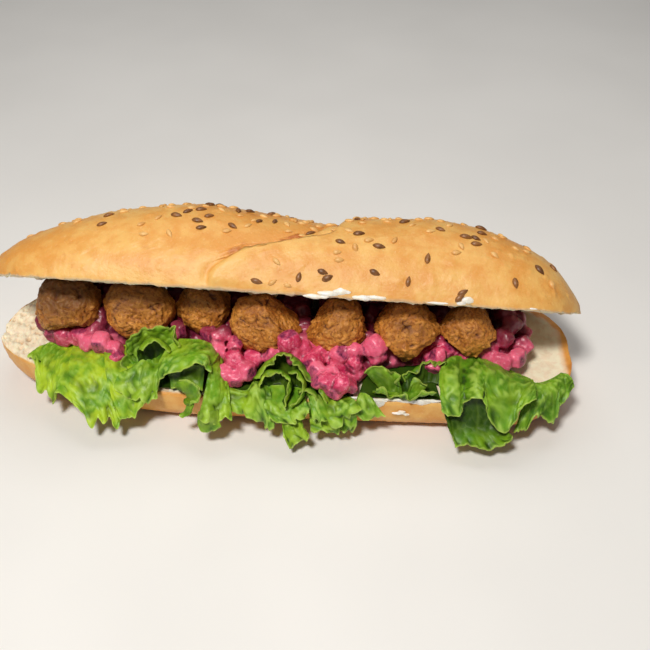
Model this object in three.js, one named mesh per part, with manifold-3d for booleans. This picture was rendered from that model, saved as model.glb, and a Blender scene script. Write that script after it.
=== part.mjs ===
// A filled baguette: two crusty halves, lettuce, beetroot salad and a row of meatballs.
// Millimetres, +Z up, +X along the loaf, -Y towards the open side of the sandwich.
// The origin is the middle of the flat base that the loaf rests on.

import * as THREE from 'three';
import { LoftGeometry } from 'three/addons/geometries/LoftGeometry.js';
import { mergeVertices } from 'three/addons/utils/BufferGeometryUtils.js';
import Module from 'manifold-3d';

const wasm = await Module();
wasm.setup();

// ---- Driving dimensions ----

const LOAF_LENGTH = 246;
const LOAF_HALF_WIDTH = 33;
const LOWER_HEIGHT = 19.3; // from the base to the middle of the cut
const UPPER_HEIGHT = 35; // from the cut to the top of the crust
const CUT_RISE = 0.8; // how much higher the cut is at the back rim than in the middle
const CRUMB_DISH = 1; // how far the soft crumb is pressed in below the rim
const BASE_TRIM = 2; // the lower crust is cut off flat, this far up, as its base
const TIP_INSET = 0.4; // the loaf's tips are blunt, and stop this far short of its length

// How the loaf rounds off to its tips: the length of the rounding, and how blunt it is.
const UPPER_PLAN = { left: [50, 2.3], right: [38, 2.3] };
const UPPER_PROFILE = { left: [92, 1.7], right: [66, 1.85] };
const LOWER_FRONT_PLAN = { left: [105, 1.9], right: [34, 2.3] };
const LOWER_BACK_PLAN = { left: [44, 2.6], right: [34, 2.3] };
const LOWER_PROFILE = { left: [36, 2.2], right: [28, 2.2] };

// The powers of the crust's cross-sections: 2 is an ellipse, and more is boxier.
const UPPER_SECTION = 2.25;
const LOWER_SECTION = 3.4;

// The slash runs from the front rim, bends across the face, and goes on over the ridge.
const SLASH_FRONT = -32; // its place along the loaf at the open side's rim
const SLASH_RIDGE = 21; // and where its bend ends
const SLASH_BEND = [0.12, 0.95]; // the turns, in radians from that rim, between which it bends
const SLASH_SLANT = 10; // how far along it goes in each radian after that
const SLASH_LEFT = { depth: 0.17, fade: 52 }; // the left lobe sinks slowly to the slash
const SLASH_RIGHT = { depth: 0.09, fade: 32 }; // the right lobe starts with a step up
const SLASH_AT_RIM = 0.25; // the share of those depths that is left at the open side's rim

const LID_TILT = THREE.MathUtils.degToRad(39.5);
const LID_ROLL = THREE.MathUtils.degToRad(1.9); // the right end sits lower
const LID_YAW = THREE.MathUtils.degToRad(-1.2); // the right end sits nearer the open side
const LID_SHIFT = 1.6; // the upper half has slid forward by this much
const LID_LIFT = 0.3; // and its back rim clears the cut by this much

const GAP = 0.35; // left between pieces that touch
const LEAF_THICKNESS = 1.5;

const LOAF_SECTIONS = 36;
const TIP_CROWDING = 0.6; // 0 spreads the sections evenly, and 1 crowds them most at the tips
const CRUST_STEPS = 10;
const CRUMB_STEPS = 4;

// ---- Small helpers ----

const { clamp, lerp, smoothstep } = THREE.MathUtils;

// A repeatable stand-in for a random number from 0 to 1.
function chance(index, salt) {
  const value = Math.sin(index * 127.1 + salt * 311.7) * 43758.5453;
  return value - Math.floor(value);
}

// A smooth irregular wave from about -1 to 1.
function wobble(at, salt) {
  return (
    0.5 * Math.sin(at + salt * 1.7) +
    0.3 * Math.sin(at * 2.3 + salt * 4.1) +
    0.2 * Math.sin(at * 3.9 + salt * 2.3)
  );
}

// Reads a table whose rows start with a place x, blending smoothly from row to row.
function rowAt(rows, x) {
  const next = clamp(rows.findIndex((row) => row[0] > x), 1, rows.length - 1);
  const [a, b] = x >= rows.at(-1)[0] ? rows.slice(-2) : [rows[next - 1], rows[next]];
  const blend = smoothstep(x, a[0], b[0]);
  return a.map((value, i) => lerp(value, b[i], blend));
}

function toSolid(geometry) {
  const bare = new THREE.BufferGeometry();
  bare.setAttribute('position', geometry.getAttribute('position'));
  bare.setIndex(geometry.getIndex());
  const merged = mergeVertices(bare, 1e-4);
  const mesh = new wasm.Mesh({
    numProp: 3,
    vertProperties: merged.attributes.position.array,
    triVerts: new Uint32Array(merged.index.array),
  });
  return new wasm.Manifold(mesh);
}

function toGeometry(solid) {
  const mesh = solid.getMesh();
  const geometry = new THREE.BufferGeometry();
  geometry.setAttribute('position', new THREE.BufferAttribute(mesh.vertProperties, 3));
  geometry.setIndex(new THREE.BufferAttribute(mesh.triVerts, 1));
  geometry.computeVertexNormals();
  return geometry;
}

function largestBody(solid) {
  return solid.decompose().reduce((best, body) => (body.volume() > best.volume() ? body : best));
}

function loft(sections) {
  return toSolid(new LoftGeometry(sections, { capStart: true, capEnd: true }));
}

// ---- The loaf ----

// 0 at a tip, rising to 1 where the rounding ends.
function taper(fromTip, [length, bluntness]) {
  const inwards = clamp(Math.max(fromTip, TIP_INSET) / length, 0, 1);
  return (1 - (1 - inwards) ** bluntness) ** (1 / bluntness);
}

function rounding(x, { left, right }) {
  return taper(LOAF_LENGTH / 2 + x, left) * taper(LOAF_LENGTH / 2 - x, right);
}

function upperHalfWidth(x) {
  return LOAF_HALF_WIDTH * rounding(x, UPPER_PLAN);
}

function lowerFront(x) {
  return -LOAF_HALF_WIDTH * rounding(x, LOWER_FRONT_PLAN);
}

function lowerBack(x) {
  return LOAF_HALF_WIDTH * rounding(x, LOWER_BACK_PLAN);
}

function cutHeight(y) {
  return LOWER_HEIGHT + (CUT_RISE * y) / LOAF_HALF_WIDTH;
}

// Places along the loaf, closer together at the rounded tips.
function stations(inset) {
  const half = LOAF_LENGTH / 2 - inset;
  return Array.from({ length: LOAF_SECTIONS + 1 }, (_, i) => {
    const t = i / LOAF_SECTIONS;
    return half * lerp(2 * t - 1, -Math.cos(Math.PI * t), TIP_CROWDING);
  });
}

// The lower half: a flat base, steep sides and a slightly dished crumb.
function lowerHalf(grow = 0) {
  const sections = stations(TIP_INSET - grow).map((x) => {
    const back = lowerBack(x) + grow;
    const front = lowerFront(x) - grow;
    const depth = (LOWER_HEIGHT + BASE_TRIM) * rounding(x, LOWER_PROFILE) + grow;
    const points = [];
    for (let i = 0; i < CRUMB_STEPS; i++) {
      const y = lerp(back, front, i / CRUMB_STEPS);
      const dish = CRUMB_DISH * Math.sin((Math.PI * i) / CRUMB_STEPS);
      points.push(new THREE.Vector3(x, y, cutHeight(y) - dish + grow));
    }
    for (let i = 0; i < CRUST_STEPS; i++) {
      const turn = (Math.PI * i) / CRUST_STEPS;
      const y = Math.abs(Math.cos(turn)) ** (2 / LOWER_SECTION) * (turn < Math.PI / 2 ? front : back);
      const z = cutHeight(y) + grow - depth * Math.sin(turn) ** (2 / LOWER_SECTION);
      points.push(new THREE.Vector3(x, y, Math.max(z, -grow)));
    }
    return points;
  });
  return loft(sections);
}

// Where the slash runs, as a place along the loaf at each turn from the open side's rim.
function slashPlace(turn) {
  const bent = lerp(SLASH_FRONT, SLASH_RIDGE, smoothstep(turn, ...SLASH_BEND));
  return bent + SLASH_SLANT * Math.max(turn - SLASH_BEND[1], 0);
}

// The share of the crust's height that is lost beside the slash: less near the open side's rim.
function slashDrop(x, turn) {
  const beside = x - slashPlace(turn);
  const lobe = beside < 0 ? SLASH_LEFT : SLASH_RIGHT;
  const sunk = lobe.depth * clamp(1 - Math.abs(beside) / lobe.fade, 0, 1);
  return sunk * lerp(SLASH_AT_RIM, 1, smoothstep(turn, ...SLASH_BEND));
}

// The upper half, with its cut on the plane z = 0 and its back rim along y = 0.
// Its sections are slanted to run along the slash.
function upperHalf() {
  const sections = stations(TIP_INSET).map((middle) => {
    const slant = (1 - ((2 * middle) / LOAF_LENGTH) ** 2) ** 2;
    const points = [];
    for (let i = 0; i < CRUST_STEPS; i++) {
      const turn = Math.PI * (1 - i / CRUST_STEPS);
      const x = middle + slant * slashPlace(turn);
      const across = -Math.sign(Math.cos(turn)) * Math.abs(Math.cos(turn)) ** (2 / UPPER_SECTION);
      const height = UPPER_HEIGHT * rounding(x, UPPER_PROFILE) * (1 - slashDrop(x, turn));
      const z = height * Math.sin(turn) ** (2 / UPPER_SECTION);
      points.push(new THREE.Vector3(x, upperHalfWidth(x) * across - LOAF_HALF_WIDTH, z));
    }
    for (let i = 0; i < CRUMB_STEPS; i++) {
      const across = i / CRUMB_STEPS;
      const x = middle + slant * lerp(slashPlace(0), slashPlace(Math.PI), across);
      points.push(new THREE.Vector3(x, upperHalfWidth(x) * (2 * across - 1) - LOAF_HALF_WIDTH, 0));
    }
    return points;
  });
  return loft(sections);
}

// ---- Meatballs ----

// Centre, radii and turn of each ball, from the left.
const MEATBALLS = [
  { at: [-91.3, 0.5, 36.8], radii: [14, 13.2, 12.4], turn: 0.2 },
  { at: [-60.2, -0.5, 36.8], radii: [15.2, 13.6, 12.6], turn: -0.2 },
  { at: [-33, 3, 36.4], radii: [11, 12, 12], turn: 0.5 },
  { at: [-6.4, -6.9, 36.2], radii: [14.6, 12.6, 12.6], turn: -0.3 },
  { at: [22.8, -7, 36.3], radii: [13.4, 12.4, 12.2], turn: 0.3 },
  { at: [51.9, -7.5, 36.3], radii: [13.6, 12.8, 12.6], turn: 0.5 },
  { at: [77.2, -6.5, 35.5], radii: [11.8, 11.8, 11.3], turn: -0.5 },
];

const BALL_DETAIL = 2;
const BALL_LUMP = 0.035; // how far each of two waves swells or dents a ball, as a share of its radius

// A ball about its own centre, uneven in a way of its own.
function meatball({ radii, turn }, index, grow = 0) {
  const geometry = new THREE.IcosahedronGeometry(1, BALL_DETAIL);
  const place = geometry.attributes.position;
  const point = new THREE.Vector3();
  for (let i = 0; i < place.count; i++) {
    point.fromBufferAttribute(place, i).normalize();
    const lump =
      BALL_LUMP * wobble(3.1 * point.x + 2.2 * point.z, index) +
      BALL_LUMP * wobble(3.7 * point.y - 1.9 * point.x, index + 5);
    const outward = point.clone();
    point.multiply(new THREE.Vector3(...radii)).multiplyScalar(1 + lump).addScaledVector(outward, grow);
    place.setXYZ(i, point.x, point.y, point.z);
  }
  geometry.rotateX(turn).rotateY(-turn);
  return toSolid(geometry);
}

// ---- Beetroot salad ----

const HEAP_BACK = 19;
const HEAP_THICKNESS = 7;
const HEAP_SWELL = 1.2; // how much thicker and thinner the heap gets in waves along the loaf
const HEAP_WAVE = 0.13; // radians of that wave in each millimetre
const HEAP_EDGE = 0.12; // the share of a half turn at which its rounded top begins and ends
const HEAP_CLEAR = 3.5 * GAP; // left between the cut and the heap, besides the leaf between them
const HEAP_SECTIONS = 14;
const HEAP_STEPS = 3;

const DICE_SIZE = 8.5;
const DICE_COUNT = 22; // in the two rows along the front
const DICE_END = 4.5; // how far from the heap's ends those rows stop
const DICE_ROWS = { inset: 3.5, apart: 7, scatter: 2 }; // measured back from the heap's front
const DICE_RISE = { first: 4.2, perRow: 3.4, scatter: 1.5 }; // measured up from the heap's bed
const END_DICE = { count: 6, x: 92, y: -6, rise: 6.5, apart: 4, zigzag: 6, scatter: 3 }; // at the right end
const DIE_LEAST = 0.85; // a die's edge, as a share of the size above, goes from this
const DIE_MOST = 1.15; // to this
const DIE_FLATTEST = 0.75; // the least share of its edge that a die measures the other way

// How far the heap comes towards the open side, at places along the loaf.
const HEAP_FRONT = [
  [-101, -7], [-76, -15], [-46, -24], [-19, -36], [3, -30],
  [22, -39], [40, -27], [70, -22], [92, -20], [105, -14],
];
const HEAP_LEFT = HEAP_FRONT[0][0];
const HEAP_RIGHT = HEAP_FRONT.at(-1)[0];

// Pieces that are pushed up between the meatballs.
const HEAP_LUMPS = [
  [8, -18, 31],
  [37.5, -17, 29],
];

function heapFront(x) {
  return rowAt(HEAP_FRONT, x)[1];
}

// The heap lies on the lettuce, which lies on the cut.
function heapBed(y) {
  return cutHeight(y) + LEAF_THICKNESS + HEAP_CLEAR;
}

function heapCore() {
  const sections = Array.from({ length: HEAP_SECTIONS + 1 }, (_, i) => {
    const x = lerp(HEAP_LEFT, HEAP_RIGHT, i / HEAP_SECTIONS);
    const front = heapFront(x);
    const thickness = HEAP_THICKNESS + HEAP_SWELL * wobble(x * HEAP_WAVE, 2);
    const points = [];
    for (let j = 0; j <= HEAP_STEPS; j++) {
      const y = lerp(HEAP_BACK, front, j / HEAP_STEPS);
      const rise = thickness * Math.sqrt(Math.sin(Math.PI * lerp(HEAP_EDGE, 1 - HEAP_EDGE, j / HEAP_STEPS)));
      points.push(new THREE.Vector3(x, y, heapBed(y) + rise));
    }
    points.push(new THREE.Vector3(x, front, heapBed(front)));
    points.push(new THREE.Vector3(x, HEAP_BACK, heapBed(HEAP_BACK)));
    return points;
  });
  return loft(sections);
}

// Diced beetroot stands out of the heap in two rows along its front, and fills the right end.
function heapDice() {
  const dice = [];
  for (let i = 0; i < DICE_COUNT; i++) {
    const row = i % 2;
    const x = lerp(HEAP_LEFT + DICE_END, HEAP_RIGHT - DICE_END, i / (DICE_COUNT - 1));
    const y = heapFront(x) + DICE_ROWS.inset + DICE_ROWS.apart * row + DICE_ROWS.scatter * chance(i, 1);
    const rise = DICE_RISE.first + DICE_RISE.perRow * row + DICE_RISE.scatter * chance(i, 2);
    dice.push(new THREE.Vector3(x, y, heapBed(y) + rise));
  }
  for (const [x, y, z] of HEAP_LUMPS) {
    dice.push(new THREE.Vector3(x, y, z));
  }
  for (let i = 0; i < END_DICE.count; i++) {
    const x = END_DICE.x + END_DICE.zigzag * (i % 2) + END_DICE.scatter * chance(i, 4);
    const y = END_DICE.y + END_DICE.apart * i;
    dice.push(new THREE.Vector3(x, y, heapBed(y) + END_DICE.rise + END_DICE.scatter * chance(i, 5)));
  }
  return dice;
}

// A cube of beetroot, cut a little uneven and turned any way.
function die(place, index) {
  const edge = DICE_SIZE * lerp(DIE_LEAST, DIE_MOST, chance(index, 3));
  const geometry = new THREE.BoxGeometry(edge, edge * lerp(DIE_FLATTEST, 1, chance(index, 6)), edge);
  const anyTurn = (salt) => Math.PI * chance(index, salt);
  geometry.rotateX(anyTurn(7)).rotateY(anyTurn(8)).rotateZ(anyTurn(9));
  geometry.translate(...place);
  return toSolid(geometry);
}

function beetSalad() {
  const underside = new THREE.Plane().setFromCoplanarPoints(
    new THREE.Vector3(0, 0, heapBed(0)),
    new THREE.Vector3(1, 0, heapBed(0)),
    new THREE.Vector3(0, 1, heapBed(1))
  );
  return wasm.Manifold.union([heapCore(), ...heapDice().map(die)]).trimByPlane(
    underside.normal.toArray(),
    -underside.constant
  );
}

// ---- Lettuce ----

// Each leaf lies under the salad, stands up behind the rim, and falls over it.
// A rib gives a place along the loaf, how high the leaf stands, its reach past the rim
// and the height of its tip there. `stand` is how far behind the rim it stands up.
const LEAVES = [
  {
    ribs: [[-106, 1, 7, 15], [-92, 3, 9, 13], [-78, 4, 11, 10], [-66, 5, 11, 9], [-57, 7, 7, 12]],
    stand: 8,
    folds: 2.5,
    frill: 2.4,
    salt: 1,
  },
  {
    ribs: [[-66, 20, 0, 16], [-54, 24, 0, 18], [-44, 19, 0, 18], [-33, 10, 8, 9], [-18, 6, 6, 11]],
    stand: 13,
    folds: 3.5,
    frill: 3,
    salt: 2,
  },
  {
    ribs: [[-18, 5, 2, 13], [-6, 12, 3, 11], [5, 14, 7, 7], [14, 6, 6, 9], [26, 1, 1, 15]],
    stand: 3,
    folds: 3.5,
    frill: 2.6,
    salt: 3,
  },
  {
    ribs: [[29, 2, -1, 19], [38, 8, -2, 20], [50, 9, -2, 20], [66, 9, -2, 20]],
    stand: 8,
    folds: 3.5,
    frill: 1.6,
    salt: 4,
  },
  {
    ribs: [[68, 11, 4, 9], [77, 10, 11, 7], [90, 9, 10, 7], [104, 7, 5, 12], [119, 3, 9, 15]],
    stand: 13,
    folds: 3.5,
    frill: 3,
    salt: 5,
  },
];
const LEAF_SECTIONS = 16;
const LEAF_STEPS = 6;
const LEAF_BACK = 2; // the leaves' hidden inner edges
const LEAF_FAN = 0.5; // a leaf is narrower there, by this share of its width
const LEAF_CLEAR = 1.5 * GAP; // left between the cut and the leaf that lies on it
const LEAF_ROOT = 5; // a leaf starts to rise this far behind the place where it stands
const LEAF_OVERHANG = 1.8; // how far past the rim a leaf of no reach hangs
const LEAF_OVER_RIM = 0.6; // how far above its bed the lowest leaf crosses the rim
const LEAF_DROOP = 0.3; // the share of its climb that a leaf still has there
const LEAF_BEND = 0.45; // the share of its reach at which a leaf has fallen as far in proportion
const MARGIN_WAVE = { depth: 0.12, turns: 9 }; // how the margin's reach varies, along a leaf
const FRILL_START = 0.4; // the share of the way out at which the frill begins

// How far the frill goes each way, as shares of its size, and how far one follows another.
const FRILL = { along: 0.5, out: 0.6, up: 0.8, lag: 0.8 };

// A point of the leaf's middle surface: `along` runs from its left to its right side,
// and `out` from its hidden inner edge to its frilled margin.
function leafPoint({ ribs, stand, folds, frill, salt }, along, out) {
  const left = ribs[0][0];
  const right = ribs.at(-1)[0];
  const x = lerp(left, right, along);
  const [, climb, reach, tip] = rowAt(ribs, x);
  const rim = lowerFront(x);
  const bed = (y) => cutHeight(y) + LEAF_THICKNESS / 2 + LEAF_CLEAR;
  const crest = rim + stand;
  const margin = 1 + MARGIN_WAVE.depth * wobble(MARGIN_WAVE.turns * along, salt);
  const end = rim - LEAF_OVERHANG - reach * margin;
  const path = new THREE.CatmullRomCurve3(
    [
      [LEAF_BACK, bed(LEAF_BACK)],
      [crest + LEAF_ROOT, bed(crest)],
      [crest, bed(crest) + climb],
      [rim - GAP, bed(rim) + LEAF_OVER_RIM + LEAF_DROOP * climb],
      [lerp(rim - LEAF_OVERHANG, end, LEAF_BEND), lerp(bed(rim), tip, LEAF_BEND)],
      [end, tip],
    ].map(([y, z]) => new THREE.Vector3(x, y, z)),
    false,
    'centripetal'
  );
  const point = path.getPoint(out);
  const loose = frill * smoothstep(out, FRILL_START, 1);
  const turn = 2 * Math.PI * folds * along + salt;
  const middle = (left + right) / 2;
  point.x = lerp(point.x, middle, LEAF_FAN * (1 - out)) + FRILL.along * loose * Math.sin(2 * turn);
  point.y -= FRILL.out * loose * (1 + Math.sin(turn + FRILL.lag));
  point.z = Math.max(point.z + FRILL.up * loose * Math.sin(turn), LEAF_THICKNESS);
  return point;
}

function leafNormal(leaf, along, out) {
  const step = 0.01;
  const across = leafPoint(leaf, along + step, out).sub(leafPoint(leaf, along - step, out));
  const outward = leafPoint(leaf, along, Math.min(out + step, 1)).sub(
    leafPoint(leaf, along, Math.max(out - step, 0))
  );
  return outward.cross(across).normalize();
}

// A closed sheet: an upper and a lower grid of points, joined round their edges.
function lettuceLeaf(leaf, grow = 0) {
  const wider = grow / (leaf.ribs.at(-1)[0] - leaf.ribs[0][0]);
  const points = [];
  for (const side of [1, -1]) {
    for (let i = 0; i <= LEAF_SECTIONS; i++) {
      for (let j = 0; j <= LEAF_STEPS; j++) {
        const along = lerp(-wider, 1 + wider, i / LEAF_SECTIONS);
        const out = j / LEAF_STEPS;
        const offset = side * (LEAF_THICKNESS / 2 + grow);
        points.push(leafPoint(leaf, along, out).addScaledVector(leafNormal(leaf, along, out), offset));
      }
    }
  }
  const faces = [];
  const quad = (a, b, c, d) => faces.push(a, b, c, a, c, d);
  const top = (i, j) => i * (LEAF_STEPS + 1) + j;
  const under = (i, j) => points.length / 2 + top(i, j);
  for (let i = 0; i < LEAF_SECTIONS; i++) {
    for (let j = 0; j < LEAF_STEPS; j++) {
      quad(top(i, j), top(i, j + 1), top(i + 1, j + 1), top(i + 1, j));
      quad(under(i, j), under(i + 1, j), under(i + 1, j + 1), under(i, j + 1));
    }
    quad(top(i + 1, 0), under(i + 1, 0), under(i, 0), top(i, 0));
    quad(top(i, LEAF_STEPS), under(i, LEAF_STEPS), under(i + 1, LEAF_STEPS), top(i + 1, LEAF_STEPS));
  }
  for (let j = 0; j < LEAF_STEPS; j++) {
    quad(top(0, j), under(0, j), under(0, j + 1), top(0, j + 1));
    const last = LEAF_SECTIONS;
    quad(top(last, j + 1), under(last, j + 1), under(last, j), top(last, j));
  }
  const geometry = new THREE.BufferGeometry().setFromPoints(points);
  geometry.setIndex(faces);
  return toSolid(geometry);
}

// ---- Assembly ----

function material(color, roughness) {
  return new THREE.MeshStandardMaterial({ color, roughness, metalness: 0 });
}

const crust = material(0xdfa45c, 0.6);
const meat = material(0x8a5527, 0.75);
const beetroot = material(0xd8407a, 0.3);
const lettuce = material(0x6fa32e, 0.5);

function piece(name, solid, finish) {
  const mesh = new THREE.Mesh(toGeometry(solid), finish);
  mesh.name = name;
  return mesh;
}

const sandwich = new THREE.Group();

// The upper half lies hinged up about its back rim by the filling, and a little askew.
const lid = new THREE.Group();
lid.position.set(0, LOAF_HALF_WIDTH - LID_SHIFT, cutHeight(LOAF_HALF_WIDTH) + LID_LIFT);
lid.rotation.set(-LID_TILT, LID_ROLL, LID_YAW, 'ZYX');
lid.updateMatrix();
sandwich.add(lid);

// The bread and the meatballs are firm, and the rest is cut to fit round them.
const grownMeatballs = MEATBALLS.map((ball, i) => meatball(ball, i, GAP).translate(ball.at));
const firm = wasm.Manifold.union([lowerHalf(GAP), ...grownMeatballs]);
const firmSeenFromLid = firm.transform(lid.matrix.clone().invert().toArray());
const upper = largestBody(upperHalf().subtract(firmSeenFromLid));

sandwich.add(piece('bread_lower_half', lowerHalf(), crust));
lid.add(piece('bread_upper_half', upper, crust));

MEATBALLS.forEach((ball, i) => {
  const mesh = piece(`meatball_${i + 1}`, meatball(ball, i), meat);
  mesh.position.set(...ball.at);
  sandwich.add(mesh);
});

let taken = firm;
LEAVES.forEach((leaf, i) => {
  sandwich.add(piece(`lettuce_leaf_${i + 1}`, largestBody(lettuceLeaf(leaf).subtract(taken)), lettuce));
  taken = taken.add(lettuceLeaf(leaf, GAP));
});

const loweredLid = upper.transform(lid.matrix.toArray()).translate([0, 0, -GAP]);
sandwich.add(piece('beetroot_salad', largestBody(beetSalad().subtract(taken.add(loweredLid))), beetroot));

export default sandwich;
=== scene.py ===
"""A meatball baguette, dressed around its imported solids.

The crust, crumb, meatballs, beetroot salad, lettuce, seeds and spread are each built by an
operator of their own. Sizes are written in millimetres, because that is how a baker would
give them, and are turned into metres when a mesh is made. The user's settings are in metres.
"""

import math

import bpy
import numpy as np
from bpy.props import FloatProperty, FloatVectorProperty, IntProperty, PointerProperty
from bpy.types import Operator, Panel, PropertyGroup
from mathutils import Euler, Matrix, Vector
from mathutils.bvhtree import BVHTree


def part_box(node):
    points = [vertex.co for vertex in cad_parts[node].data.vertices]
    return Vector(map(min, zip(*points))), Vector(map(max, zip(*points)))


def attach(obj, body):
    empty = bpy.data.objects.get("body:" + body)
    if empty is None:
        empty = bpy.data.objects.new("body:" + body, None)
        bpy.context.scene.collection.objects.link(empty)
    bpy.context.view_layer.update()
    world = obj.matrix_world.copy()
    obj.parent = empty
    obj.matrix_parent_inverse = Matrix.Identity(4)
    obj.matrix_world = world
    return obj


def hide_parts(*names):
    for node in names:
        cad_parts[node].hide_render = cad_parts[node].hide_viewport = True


bl_info = {
    "name": "Meatball Baguette",
    "version": (1, 0, 0),
    "blender": (4, 5, 0),
    "location": "3D View > Sidebar > Baguette",
    "description": "Builds a filled baguette with its crust, seeds, meatballs, salad and lettuce",
    "category": "Add Mesh",
}

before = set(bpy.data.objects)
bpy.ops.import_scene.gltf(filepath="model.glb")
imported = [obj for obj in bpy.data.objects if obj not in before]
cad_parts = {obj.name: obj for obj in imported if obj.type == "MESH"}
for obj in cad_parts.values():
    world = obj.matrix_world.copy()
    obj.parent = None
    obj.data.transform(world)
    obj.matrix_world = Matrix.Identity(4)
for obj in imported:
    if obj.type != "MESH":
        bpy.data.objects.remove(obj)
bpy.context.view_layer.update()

MM = 0.001

# ---- The loaf's driving sizes, as in its solids, in millimetres ----

LOAF_LENGTH = 246
LOAF_HALF_WIDTH = 33
LOWER_HEIGHT = 19.3
UPPER_HEIGHT = 35
CUT_RISE = 0.8
CRUMB_DISH = 1
RIGHT_END_DISH = 2.6
BASE_TRIM = 2
TIP_INSET = 0.4

# How the halves are rounded off towards the left and the right tip: over what length, and how
# bluntly.
UPPER_PLAN = ((50, 2.3), (38, 2.3))
UPPER_PROFILE = ((92, 1.7), (66, 1.85))
LOWER_FRONT_PLAN = ((105, 1.9), (34, 2.3))
LOWER_BACK_PLAN = ((44, 2.6), (34, 2.3))
LOWER_PROFILE = ((36, 2.2), (28, 2.2))

# How square each half's section is: 2 is an ellipse.
UPPER_SECTION = 2.25
LOWER_SECTION = 3.4

# The slash: where it lies along the loaf at the front rim and on the ridge, between which turns up
# the crust it crosses over, and how it slants on from there. Then how much of its height the crust
# loses on the left and on the right of it, and how far out.
SLASH_FRONT = -32
SLASH_RIDGE = 21
SLASH_BEND = (0.12, 0.95)
SLASH_SLANT = 10
SLASH_LEFT = (0.17, 52)
SLASH_RIGHT = (0.09, 32)

# The slash's crease in the crust: how far up from the rim, and where along the loaf.
CREASE = (
    (0.03, -26.5), (0.16, -26), (0.23, -24), (0.33, -19.5), (0.44, -15.5), (0.56, -6.5), (0.6, -1),
    (0.77, 7.5), (0.98, 14), (1.33, 22),
)

# How high the crust's lip stands beside the slash, over how long it runs down to the right, how
# deep the groove before the lip is, and how high the torn peels along it curl.
LIP_HEIGHT = 1.4
LIP_RUN = 14
GROOVE_DEPTH = 0.8
PEEL_HEIGHT = 1.1

# How the upper half lies tipped up on its back rim.
LID_TILT = math.radians(39.5)
LID_ROLL = math.radians(1.9)
LID_YAW = math.radians(-1.2)
LID_SHIFT = 1.6
LID_LIFT = 0.3

# Middle, radii and turn of each ball, from left to right.
MEATBALLS = (
    ((-91.3, 0.5, 36.8), (14, 13.2, 12.4), 0.2),
    ((-60.2, -0.5, 36.8), (15.2, 13.6, 12.6), -0.2),
    ((-33, 3, 36.4), (11, 12, 12), 0.5),
    ((-6.4, -6.9, 36.2), (14.6, 12.6, 12.6), -0.3),
    ((22.8, -7, 36.3), (13.4, 12.4, 12.2), 0.3),
    ((51.9, -7.5, 36.3), (13.6, 12.8, 12.6), 0.5),
    ((77.2, -6.5, 35.5), (11.8, 11.8, 11.3), -0.5),
)

# Where each ball was pressed flat: the way that side faces, and how far out it lies as a
# share of the radius.
PRESSED = (
    ((0.1, -0.75, -0.65, 0.76), (0.3, -0.6, 0.9, 0.9), (-1, -0.2, 0.3, 0.88)),
    ((0.1, -0.9, 0.35, 0.76), (-0.9, -0.5, 0.2, 0.88), (0.6, -0.3, -0.9, 0.84)),
    ((0, -0.9, 0.3, 0.82), (0.8, -0.2, -0.6, 0.84), (-0.8, 0, 0.5, 0.86)),
    ((0.8, -0.1, 0.7, 0.72), (0.7, 0.4, 0.6, 0.74), (0.6, -0.3, -0.8, 0.82), (-0.3, -0.95, 0.3, 0.84)),
    ((-0.8, -0.1, 0.6, 0.66), (-0.8, 0.4, 0.4, 0.7), (0, -0.5, -0.9, 0.82), (0.9, 0.1, 0.2, 0.84)),
    (
        (0.75, 0.1, 0.6, 0.8), (-0.75, -0.4, -0.55, 0.76), (0.7, -0.4, -0.6, 0.8),
        (-0.7, 0.3, 0.6, 0.82), (0.1, -0.9, 0.4, 0.9),
    ),
    ((-0.6, -0.4, -0.65, 0.74), (0.75, -0.4, -0.6, 0.78), (-0.7, 0.3, 0.6, 0.78), (0.9, 0.2, 0.4, 0.82)),
)

# Where the salad ends behind the loaf's middle line.
HEAP_BACK = 19

# ---- Numbers and noise ----

# Wherever noise is asked for, the size of its lumps in millimetres comes first, and then the seed
# that picks its pattern.


def smooth_step(value, low, high):
    """Eases from 0 at `low` to 1 at `high`, which may be the smaller of the two."""
    share = np.clip((value - low) / (high - low), 0, 1)
    return share * share * (3 - 2 * share)


def blend(low, high, share):
    return low + (high - low) * share


_directions = np.random.default_rng(5).normal(size=(256, 3))
_directions /= np.linalg.norm(_directions, axis=1, keepdims=True)


def _scrambled(cells, seed):
    mixed = cells[:, 0] * 73856093 ^ cells[:, 1] * 19349663 ^ cells[:, 2] * 83492791 ^ seed * 2654435
    mixed = (mixed ^ (mixed >> 13)) * 1274126177
    return (mixed ^ (mixed >> 16)) & 0x7FFFFFFF


def lumps(points, size, seed):
    """Smooth gradient noise from about -1 to 1, with lumps as large as `size`."""
    spots = points / size
    cells = np.floor(spots).astype(np.int64)
    inside = spots - cells
    ease = inside**3 * (inside * (inside * 6 - 15) + 10)
    total = np.zeros(len(points))
    for corner in np.ndindex(2, 2, 2):
        pull = _directions[_scrambled(cells + np.array(corner), seed) & 255]
        weight = np.where(np.array(corner) == 1, ease, 1 - ease).prod(axis=1)
        total += weight * ((inside - corner) * pull).sum(axis=1)
    return total * 1.7


def rough(points, size, seed, layers=3):
    """Several sizes of lumps on top of each other, each half as large and half as strong."""
    total = np.zeros(len(points))
    for layer in range(layers):
        total += lumps(points, size / 2**layer, seed + layer) / 2**layer
    return total / 1.5


def cells_apart(points, size, seed):
    """Distances to the nearest and second nearest of scattered seeds, as shares of `size`."""
    spots = points / size
    home = np.floor(spots).astype(np.int64)
    first = np.full(len(points), 9.0)
    second = np.full(len(points), 9.0)
    for step in np.ndindex(3, 3, 3):
        cell = home + np.array(step) - 1
        jitter = np.stack(
            [(_scrambled(cell, seed + salt) % 1000) / 1000 for salt in (11, 23, 37)], axis=1
        )
        gap = np.linalg.norm(cell + jitter - spots, axis=1)
        second = np.minimum(second, np.maximum(first, gap))
        first = np.minimum(first, gap)
    return first, second


# ---- Making meshes ----


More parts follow.
